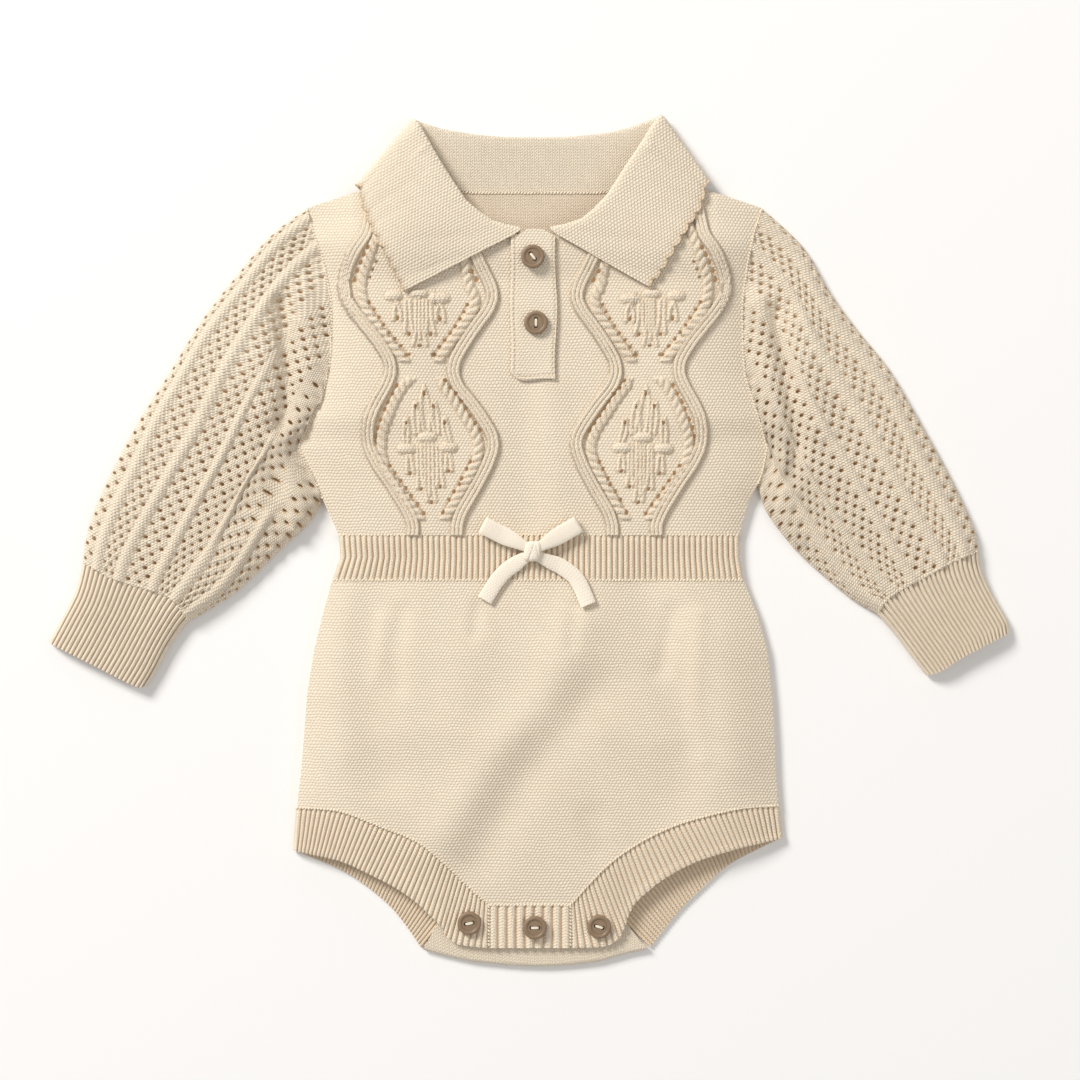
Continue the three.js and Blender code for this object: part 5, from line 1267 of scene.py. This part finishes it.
def placket():
    heights = np.linspace(slotBottom + 0.03, 152.8, 40)
    u, y = np.meshgrid(np.linspace(0, 1, 20), heights)
    x = mix(-slotHalf + 0.03, slotHalf - 0.03, u)
    uv = np.stack([x, y], axis=-1)
    top = frontTop(x, y)
    part = gridShell(stackXyz(x, y, top - 0.1), stackXyz(x, y, top - 1.7), uv)
    addPiece("placketUnder", part, placketKnit, ["placket_under"])
    u, v = np.meshgrid(np.linspace(0, 1, placketSpec["columns"]), np.linspace(0, 1, placketSpec["rows"]))
    edgeY = mix(85, 156, v)
    x = mix(-11.5 + 0.3 * np.sin(edgeY / 7), 9.9 + 0.6 * np.sin(edgeY / 8.5), u)
    topY = np.minimum(155.8, 157.6 - 0.56 * np.maximum(0, np.abs(x) - 0.5))
    corner = np.maximum(0, x - x[:, :1]) / 2.4
    bottom = 84.4 + 3.4 * np.exp(-(corner**1.5)) + 0.4 * np.sin(x / 3.5)
    y = mix(bottom, topY, v)
    uv = np.stack([x, y], axis=-1)
    rim = np.minimum(np.minimum(x - x[:, :1], x[:, -1:] - x + 1.2), y - bottom)
    groove = np.exp(-(((rim - 1.9) / 0.45) ** 2)) * (0.6 + 0.4 * np.cos(2 * math.pi * (x + y) / 2.4))
    level = 2.1 - 0.6 * groove - 0.5 * np.exp(-((rim / 0.4) ** 2))
    base = frontTop(x, y)
    part = gridShell(stackXyz(x, y, base + level), stackXyz(x, y, base + 0.6), uv, 0.45 * groove)
    addPiece("placketTop", part, placketKnit, ["placket_top"])


placket()

# leg bands and crotch
legSpec = {"ribs": 44, "rise": 1.3, "lean": 0.085}


def lowered(seam, edge):
    gap = edge - seam
    return seam + 0.05 * gap / np.linalg.norm(gap, axis=-1, keepdims=True)


def legRib(side):
    left = side == "left"
    frontSeam, frontRim = rounded(frontLeg[side], 10), rounded(frontEdge[side], 20)
    backLine, backRim = rounded(backLeg[side], 10), rounded(backEdge[side], 20)
    backHeight, sideHeight = ribWall / 2, seamGap + wall + ribWall / 2
    radius = (sideHeight - backHeight) / 2
    inward = 1 if left else -1
    share = np.linspace(0, 1, 15)
    stations, ribs, runs, run = [], [], [], 0.0

    def addStation(seam, edge, height, rib):
        nonlocal run
        start = lowered(seam, edge)
        xy = mix(start[None, :], edge[None, :], share[:, None])
        z = height(xy[:, 0], xy[:, 1])
        stations.append(stackXyz(xy[:, 0], xy[:, 1], z))
        ribs.append(rib)
        runs.append(run)

    for t in np.linspace(1, 0, legSpec["ribs"] * 7 + 1)[:-1]:
        rib = float(ribWave(np.array(t), legSpec["ribs"]))
        run = (1 - t) * legSpec["ribs"] * ribStitch
        addStation(stepped(frontSeam, t), stepped(frontRim, t - legSpec["lean"] * math.sin(math.pi * t)),
                   lambda x, y: np.maximum(frontTop(x, y) - 1, sideHeight), rib)
    frontCount = len(stations)
    for degrees in (35, 60, 90, 120, 145):
        turned = math.radians(degrees)
        shift = inward * radius * (1 - math.sin(turned))
        height = (sideHeight + backHeight) / 2 + radius * math.cos(turned)
        seam, edge = stepped(frontSeam, 0.0), stepped(frontRim, 0.0)
        move = np.array([shift, 0.0])
        run = legSpec["ribs"] * ribStitch + degrees / 180 * ribStitch
        addStation(seam + move, edge + move, lambda x, y: height + 0 * x, 0.6)
    for t in np.linspace(0, 1, legSpec["ribs"] * 5 + 1)[3:]:
        rib = float(ribWave(np.array(t), legSpec["ribs"]))
        run = legSpec["ribs"] * ribStitch + ribStitch + t * legSpec["ribs"] * ribStitch
        addStation(stepped(backLine, t), stepped(backRim, t), lambda x, y: backHeight + 0 * x, rib)
    onFront = np.arange(len(stations)) < frontCount
    middle = np.array(stations).transpose(1, 0, 2)
    ribRow, runRow = np.array(ribs), np.array(runs)
    widths = np.linalg.norm(middle[-1] - middle[0], axis=1)
    uv = np.stack([np.broadcast_to(runRow, middle.shape[:2]), share[:, None] * widths[None, :]], axis=-1)
    edgeRoll = 0.5 * np.exp(-(((share - 0.94) / 0.06) ** 2))[:, None] - 0.5 * np.exp(-(share / 0.05))[:, None]
    rise = np.where(onFront[None, :], legSpec["rise"] * (ribRow - 0.72) + edgeRoll, 0.0)
    under = np.where(onFront[None, :], 0.0, 0.7 * legSpec["rise"] * (ribRow - 0.5))
    shade = np.broadcast_to(0.6 * (1 - ribRow) ** 1.8, middle.shape[:2])
    part = bentSheet(middle, ribWall, uv, 1 if left else -1, rise, under, shade, 1.0, shade + 0.12)
    addPiece(f"legRib{side.capitalize()}", part, ribKnit, [f"leg_rib_{side}"])


def crotch():
    u, y = np.meshgrid(np.linspace(0, 1, 9 * 8 + 1), np.linspace(-186.6, -166.04, 16))
    x = mix(-21.96, 16.96, u)
    wave = ribWave(u, 9)
    top = frontTop(x, y)
    uv = np.stack([u * 9 * ribStitch, y], axis=-1)
    part = gridShell(stackXyz(x, y, top + 1.5 * (wave - 0.72)), stackXyz(x, y, top - wall), uv,
                     0.6 * (1 - wave) ** 1.8, 1.0)
    addPiece("crotchBand", part, ribKnit, ["crotch_band"])
    foldLine = rounded([[-53, -187.4], [-39.6, -190.9], [-26.9, -193.3], [1.8, -195.4], [28.8, -193.3],
                        [43.2, -189.3], [53.2, -187.4]], 14)
    low, high = ribWall / 2, 2.05 + ribWall / 2
    radius = (high - low) / 2
    rows = []
    for t in np.linspace(0, 1, 85):
        x, y = stepped(foldLine, t)
        backX, frontX = mix(-41.5, 39.5, t), mix(-45.6, 41.8, t)
        line = [(mix(backX, x, s), mix(-172.4, y, s), low) for s in (0, 0.2, 0.4, 0.6, 0.8, 0.92)]
        for degrees in (20, 50, 90, 130, 160):
            turned = math.radians(degrees)
            line.append((x, y + radius * (1 - math.sin(turned)), low + radius * (1 - math.cos(turned))))
        line.append((x, y + radius * 1.4, high))
        line += [(mix(x, frontX, s), mix(y, -172.6, s), high) for s in (0.25, 0.5, 0.75, 1)]
        rows.append(line)
    middle = np.array(rows)
    widths = np.linalg.norm(np.diff(middle, axis=1), axis=2)
    down = np.concatenate([np.zeros((len(middle), 1)), np.cumsum(widths, axis=1)], axis=1)
    uv = np.stack([middle[..., 0], down], axis=-1)
    addPiece("crotchFlap", bentSheet(middle, ribWall, uv, vee=0.0), bodyKnit, ["crotch_flap"])


legRib("left")
legRib("right")
crotch()

# buttons
buttonSpec = {"radius": 5.65, "height": 2.4, "hole": 0.85, "spread": 1.7}
buttons = [
    ("button_neck_upper", "buttonNeckUpper", "neck_button", -1, 142.6, 2.4, -0.9),
    ("button_neck_lower", "buttonNeckLower", "neck_button", 0.5, 111.4, 2.4, 1.57),
    ("button_crotch_left", "buttonCrotchLeft", "crotch_button", -31.3, -174.5, 0.0, 0.2),
    ("button_crotch_middle", "buttonCrotchMiddle", "crotch_button", 0, -176.5, 0.85, 0.0),
    ("button_crotch_right", "buttonCrotchRight", "crotch_button", 30.7, -176.2, 0.0, -0.3),
]


def restHeight(x, y, extra):
    angles = np.arange(12) / 12 * 2 * math.pi
    radius = buttonSpec["radius"]
    return float(np.max(frontTop(x + radius * np.cos(angles), y + radius * np.sin(angles)))) + extra


def buttonPart(x, y, bed, turn):
    radius, height = buttonSpec["radius"], buttonSpec["height"]
    steps = np.r_[np.linspace(0.02, 3.4, 26), np.linspace(3.55, 4.3, 6), np.linspace(4.45, radius, 10)]
    fall = lambda r: 1 - math.sqrt(max(0.0, 1 - (max(0.0, r - 4.6) / 1.06) ** 2))
    profile = [(r, height - 0.45 * (1 - float(smooth01((r - 3.5) / 0.8))) - 0.9 * fall(r)) for r in steps]
    outline = profile + [(radius, height / 2), (radius - 0.3, 0.25), (radius - 0.8, 0.0), (0.02, 0.0)]
    angles = np.linspace(0, 2 * math.pi, 57)
    r = np.array([p[0] for p in outline])[:, None]
    z = np.array([p[1] for p in outline])[:, None] + 0 * angles[None, :]
    px, py = r * np.cos(angles), r * np.sin(angles)
    # painted shade: a darker ring at the edge of the dished centre, and dark thread holes
    shade = 0.04 + 0.22 * np.exp(-(((r - 3.5) / 0.35) ** 2)) + 0 * z
    for sign in (-1, 1):
        reach = sign * buttonSpec["spread"]
        d = np.hypot(px - reach * math.cos(turn), py - reach * math.sin(turn))
        pit = smooth01((1.15 - d / buttonSpec["hole"]) / 0.3)
        pit[len(profile):] = 0
        z = z - 1.4 * pit
        shade = shade + 0.8 * pit
    points = stackXyz(x + px, y + py, bed + z)
    part = gridPart(points, np.stack([px, py], axis=-1), np.minimum(shade, 1))
    for ring in edgeLoops(openEdges(part["faces"])):
        part = capLoop(part, ring)
    return part


def capLoop(part, loop):
    number = len(part["points"])
    faces = np.array([[b, a, number, number] for a, b in zip(loop, loop[1:] + loop[:1])])
    return {
        "points": np.vstack([part["points"], part["points"][loop].mean(axis=0)]),
        "faces": np.concatenate([part["faces"], faces]),
        "uv": np.concatenate([part["uv"], np.zeros((len(faces), 4, 2))]),
        "shade": np.r_[part["shade"], 0.1], "vee": np.r_[part["vee"], 0.0],
    }


def tubePart(path, radius, around=8):
    path = np.asarray(path, float)
    tangent = np.gradient(path, axis=0)
    tangent /= np.linalg.norm(tangent, axis=1, keepdims=True)
    sideways = np.cross(tangent, [0.02, 0.03, 1.0])
    sideways /= np.linalg.norm(sideways, axis=1, keepdims=True)
    upward = np.cross(sideways, tangent)
    angles = np.linspace(0, 2 * math.pi, around + 1)
    circle = np.stack([np.cos(angles), np.sin(angles)])[:, None, :, None]
    grid = path[:, None] + radius * (circle[0] * sideways[:, None] + circle[1] * upward[:, None])
    run = np.r_[0, np.cumsum(np.linalg.norm(np.diff(path, axis=0), axis=1))]
    uv = np.stack(np.broadcast_arrays(angles[None, :] * radius, run[:, None]), axis=-1)
    part = gridPart(grid, uv)
    for ring in edgeLoops(openEdges(part["faces"])):
        part = capLoop(part, ring)
    return part


def addButtons():
    for node, name, slot, x, y, extra, turn in buttons:
        bed = restHeight(x, y, extra)
        addPiece(name, buttonPart(x, y, bed, turn), hornButton, [node], sharp=40)
        strandsOf = []
        for offset in (-0.34, 0.0, 0.34):
            t = np.linspace(-1, 1, 13)
            along = t * buttonSpec["spread"] * 1.08
            rise = 1.75 + 0.45 * np.sqrt(np.maximum(0, 1 - t**2)) - 1.0 * (np.abs(t) > 0.9)
            px = x + along * math.cos(turn) - offset * math.sin(turn)
            py = y + along * math.sin(turn) + offset * math.cos(turn)
            strandsOf.append(tubePart(stackXyz(px, py, bed + rise), 0.24))
        addPiece(name.replace("button", "thread"), joinParts(strandsOf), threadYarn)


addButtons()

# bow
tapeSpec = {"tail": 7.4, "loop": 8.4, "thick": 1.3}


def bowBed(x, y):
    return frontTop(x, y) + ribRise + 0.4


def tapeSheet(middle, uv):
    half = tapeSpec["thick"] / 2
    soft = np.sqrt(np.maximum(0.12, 1 - (np.linspace(-1, 1, middle.shape[0]) ** 6)))[:, None]
    normal = gridNormals(middle)
    outer = middle + normal * (half * soft + 0 * middle[..., 0])[..., None]
    inner = middle - normal * (half * soft + 0 * middle[..., 0])[..., None]
    return gridShell(outer, inner, uv)


def tapeTail(name, node, line):
    path = rounded(line, 40)
    tangent = np.gradient(path, axis=0)
    tangent /= np.linalg.norm(tangent, axis=1, keepdims=True)
    across = np.linspace(-1, 1, 11)
    widen = tapeSpec["tail"] / 2 * (0.7 + 0.3 * smooth01(np.linspace(0, 1, 41) / 0.3))
    x = path[None, :, 0] - tangent[None, :, 1] * across[:, None] * widen
    y = path[None, :, 1] + tangent[None, :, 0] * across[:, None] * widen
    lifted = 1.3 * (1 - smooth01(np.linspace(0, 1, 41) / 0.35))[None, :]
    z = bowBed(x, y) + tapeSpec["thick"] / 2 + 0.3 * np.cos(across * math.pi / 2)[:, None] + lifted
    run = np.linspace(0, 1, 41) * 30
    uv = np.stack(np.broadcast_arrays(across[:, None] * 3.4, run[None, :]), axis=-1)
    addPiece(name, tapeSheet(stackXyz(x, y, z), uv), tapeKnit, [node])


def tapeLoop(name, node, start, end):
    start, end = np.array(start, float), np.array(end, float)
    reachLine = end - start
    length = np.linalg.norm(reachLine)
    ahead = reachLine / length
    radius = 1.0
    flat = length - radius
    down = [(s * flat, -radius) for s in np.linspace(0, 1, 12)]
    bend = [(flat + radius * math.sin(a), -radius * math.cos(a)) for a in np.linspace(0.2, math.pi - 0.2, 8)]
    back = [(s * flat, radius * (1 + 0.35 * math.sin(math.pi * s))) for s in np.linspace(1, 0, 14)]
    profile = np.array(down + bend + back)
    centre = max(float(bowBed(*start)), float(bowBed(*end))) + tapeSpec["thick"] / 2 + radius
    across = np.linspace(-1, 1, 11)[:, None]
    narrow = tapeSpec["loop"] / 2 * (0.55 + 0.45 * smooth01(profile[:, 0] / flat / 0.6))[None, :]
    x = start[0] + ahead[0] * profile[None, :, 0] - ahead[1] * across * narrow
    y = start[1] + ahead[1] * profile[None, :, 0] + ahead[0] * across * narrow
    crown = profile[None, :, 1] * (0.75 + 0.25 * np.cos(across * math.pi / 2))
    z = centre + crown + 0.35 * np.sin(profile[None, :, 0] / 3)
    run = np.r_[0, np.cumsum(np.linalg.norm(np.diff(profile, axis=0), axis=1))]
    uv = np.stack(np.broadcast_arrays(across * 3.4, run[None, :]), axis=-1)
    addPiece(name, tapeSheet(stackXyz(x, y, z), uv), tapeKnit, [node])


def bowKnot():
    theta, phi = np.meshgrid(np.linspace(0, math.pi, 41), np.linspace(0, 2 * math.pi, 81), indexing="ij")
    boxed = lambda value: np.sign(value) * np.abs(value) ** 0.6
    x = 4 * boxed(np.sin(theta) * np.cos(phi))
    y = 4.9 * boxed(np.sin(theta) * np.sin(phi))
    z = 2.6 * boxed(np.cos(theta))
    x = x + 0.14 * y  # the wrap leans a little
    firstPleat = 0.45 * np.exp(-(((x - 0.35 * y + 0.3) / 0.35) ** 2))
    secondPleat = 0.3 * np.exp(-(((x + 0.2 * y - 2.4) / 0.3) ** 2))
    pleat = -firstPleat - secondPleat
    points = stackXyz(x - 1.2, y + 2.9, z + pleat * (z > 0) + float(bowBed(-1.2, 2.9)) + 2.9)
    points[0], points[-1] = points[0].mean(axis=0), points[-1].mean(axis=0)
    addPiece("bowKnot", gridPart(points, np.stack([x, y], axis=-1)), tapeKnit, ["bow_knot"])


bowKnot()
tapeLoop("bowLoopLeft", "bow_loop_left", [-2.8, 4.2], [-24.6, 15.2])
tapeLoop("bowLoopRight", "bow_loop_right", [0.6, 4.0], [20.4, 15.6])
tapeTail("bowTailLeft", "bow_tail_left", [[-2.6, 1.2], [-8.5, -2.6], [-14, -6.6], [-18.7, -12], [-24, -20.4]])
tapeTail("bowTailRight", "bow_tail_right", [[0.8, 0.8], [6.5, -1.8], [13, -4.8], [20.2, -11], [25.4, -22.6]])

# linked seams: slanted stitches along each join
seamSpec = {"spacing": 1.55, "length": 1.75, "width": 0.95, "slant": 0.6, "seed": 7, "lift": 0.05}


def seamMaterial():
    material = bpy.data.materials.new("seamYarn")
    material.use_nodes = True
    tree = material.node_tree
    shader = tree.nodes["Principled BSDF"]
    place = addNode(tree, "ShaderNodeTexCoord").outputs["Object"]
    twist = addNode(tree, "ShaderNodeTexNoise", Vector=place, Scale=900.0, Detail=2.0).outputs["Fac"]
    tone = addNode(tree, "ShaderNodeGroup", {"node_tree": toneGroup}, Vector=place, Groove=twist,
                   Yarn=(*yarn["cream"], 1), Deep=(*yarn["creamMottleShadeGlow"], 1), **{"Groove_Tint": 0.2})
    relief = addNode(tree, "ShaderNodeBump", Height=twist, Strength=0.4, Distance=0.0002)
    tree.links.new(tone.outputs["Color"], shader.inputs["Base Color"])
    tree.links.new(tone.outputs["Roughness"], shader.inputs["Roughness"])
    tree.links.new(relief.outputs[0], shader.inputs["Normal"])
    shader.inputs["Sheen Weight"].default_value = 0.2
    return material


def buildSeamTree():
    tree = bpy.data.node_groups.new("linkedSeam", "GeometryNodeTree")
    sockets = {"Geometry": "Geometry", "Spacing": "Float", "Stitch Size": "Vector", "Slant": "Vector",
               "Seed": "Int", "Yarn": "Material"}
    for label, kind in sockets.items():
        tree.interface.new_socket(label, in_out="INPUT", socket_type=f"NodeSocket{kind}")
    tree.interface.new_socket("Geometry", in_out="OUTPUT", socket_type="NodeSocketGeometry")
    given = tree.nodes.new("NodeGroupInput").outputs
    result = tree.nodes.new("NodeGroupOutput").inputs
    curve = addNode(tree, "GeometryNodeMeshToCurve", i0=given["Geometry"]).outputs[0]
    even = addNode(tree, "GeometryNodeResampleCurve", {"mode": "LENGTH"},
                   Curve=curve, Length=given["Spacing"])
    bead = addNode(tree, "GeometryNodeMeshUVSphere", Segments=8, Rings=5, Radius=0.5).outputs["Mesh"]
    stitch = addNode(tree, "GeometryNodeTransform", Geometry=bead, Rotation=given["Slant"],
                     Scale=given["Stitch Size"])
    tangent = addNode(tree, "GeometryNodeInputTangent").outputs[0]
    turn = addNode(tree, "FunctionNodeAlignRotationToVector", {"axis": "X"}, Vector=tangent)
    uneven = addNode(tree, "FunctionNodeRandomValue", {"data_type": "FLOAT"},
                     i2=0.88, i3=1.12, i8=given["Seed"])
    row = addNode(tree, "GeometryNodeInstanceOnPoints", Points=even.outputs[0], Instance=stitch.outputs[0],
                  Rotation=turn.outputs[0], Scale=uneven.outputs[1])
    real = addNode(tree, "GeometryNodeRealizeInstances", i0=row.outputs[0])
    soft = addNode(tree, "GeometryNodeSetShadeSmooth", i0=real.outputs[0])
    made = addNode(tree, "GeometryNodeSetMaterial", Geometry=soft.outputs[0], Material=given["Yarn"])
    tree.links.new(made.outputs[0], result[0])
    return tree


seamTree = buildSeamTree()
seamYarn = seamMaterial()


def seam(name, lines, slot):
    points, edges = [], []
    for line in lines:
        start = len(points)
        points += [tuple(float(value) * mm for value in point) for point in line]
        edges += [(k, k + 1) for k in range(start, len(points) - 1)]
    mesh = bpy.data.meshes.new(name)
    mesh.from_pydata(points, edges, [])
    piece = bpy.data.objects.new(name, mesh)
    bpy.context.collection.objects.link(piece)
    modifier = piece.modifiers.new("stitches", "NODES")
    modifier.node_group = seamTree
    size = (seamSpec["length"] * mm, seamSpec["width"] * mm, seamSpec["width"] * mm)
    values = {"Spacing": seamSpec["spacing"] * mm, "Stitch Size": size,
              "Slant": (0.0, 0.0, seamSpec["slant"]), "Seed": seamSpec["seed"], "Yarn": seamYarn}
    for socket in seamTree.interface.items_tree:
        if socket.in_out == "INPUT" and socket.name in values:
            modifier[socket.identifier] = values[socket.name]
    evaluated = piece.evaluated_get(bpy.context.evaluated_depsgraph_get())
    made = bpy.data.meshes.new_from_object(evaluated)
    piece.modifiers.remove(modifier)
    piece.data = made
    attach(piece, "root")
    print(f"seam: {name}, {len(made.polygons)} faces")


def onFront(line, lift=0.0):
    xy = np.asarray(line, float)
    return np.c_[xy, frontTop(xy[:, 0], xy[:, 1]) + seamSpec["lift"] + lift]


def addSeams():
    for name, y in (("seamWaistTop", waistTop), ("seamWaistBottom", waistBottom)):
        x = np.linspace(float(column(bodyEdge, y, 1)) + 1, float(column(bodyEdge, y, 2)) - 1, 120)
        seam(name, [onFront(np.c_[x, np.full_like(x, y)])], "cream_rib")
    armholes, joins = [], []
    for side, index in (("left", 1), ("right", 2)):
        heights = np.linspace(sleeves[side]["seamHeights"][-1] + 1, 166, 90)
        x = column(bodyEdge, heights, index)
        armholes.append(np.c_[x, heights, frontTop(x, heights) + 0.2])
        line = rounded(sleeves[side]["join"], 40)[1:-1]
        u = np.linspace(0, 1, 41)[1:-1]
        joins.append(np.c_[line, 4.2 + (1 - np.abs(2 * u - 1) ** 5) * 4.0])
    seam("seamArmholes", armholes, "cream_knit")
    seam("seamCuffs", joins, "cream_rib")
    seam("seamLegs", [onFront(rounded(frontLeg[side], 60)) for side in ("left", "right")], "cream_rib")
    y = np.linspace(-185, -167, 12)
    sides = [onFront(np.c_[np.full_like(y, x), y]) for x in (-22, 17)]
    x = np.linspace(-21, 16, 20)
    seam("seamCrotch", sides + [onFront(np.c_[x, np.full_like(x, -166)])], "cream_rib")
    x = np.linspace(-46, 46, 60)
    y = column(backSeam, np.abs(x), 1) - 0.1
    seam("seamNeckBack", [np.c_[x, y, np.full_like(x, 4.2)]], "collar_knit")


addSeams()
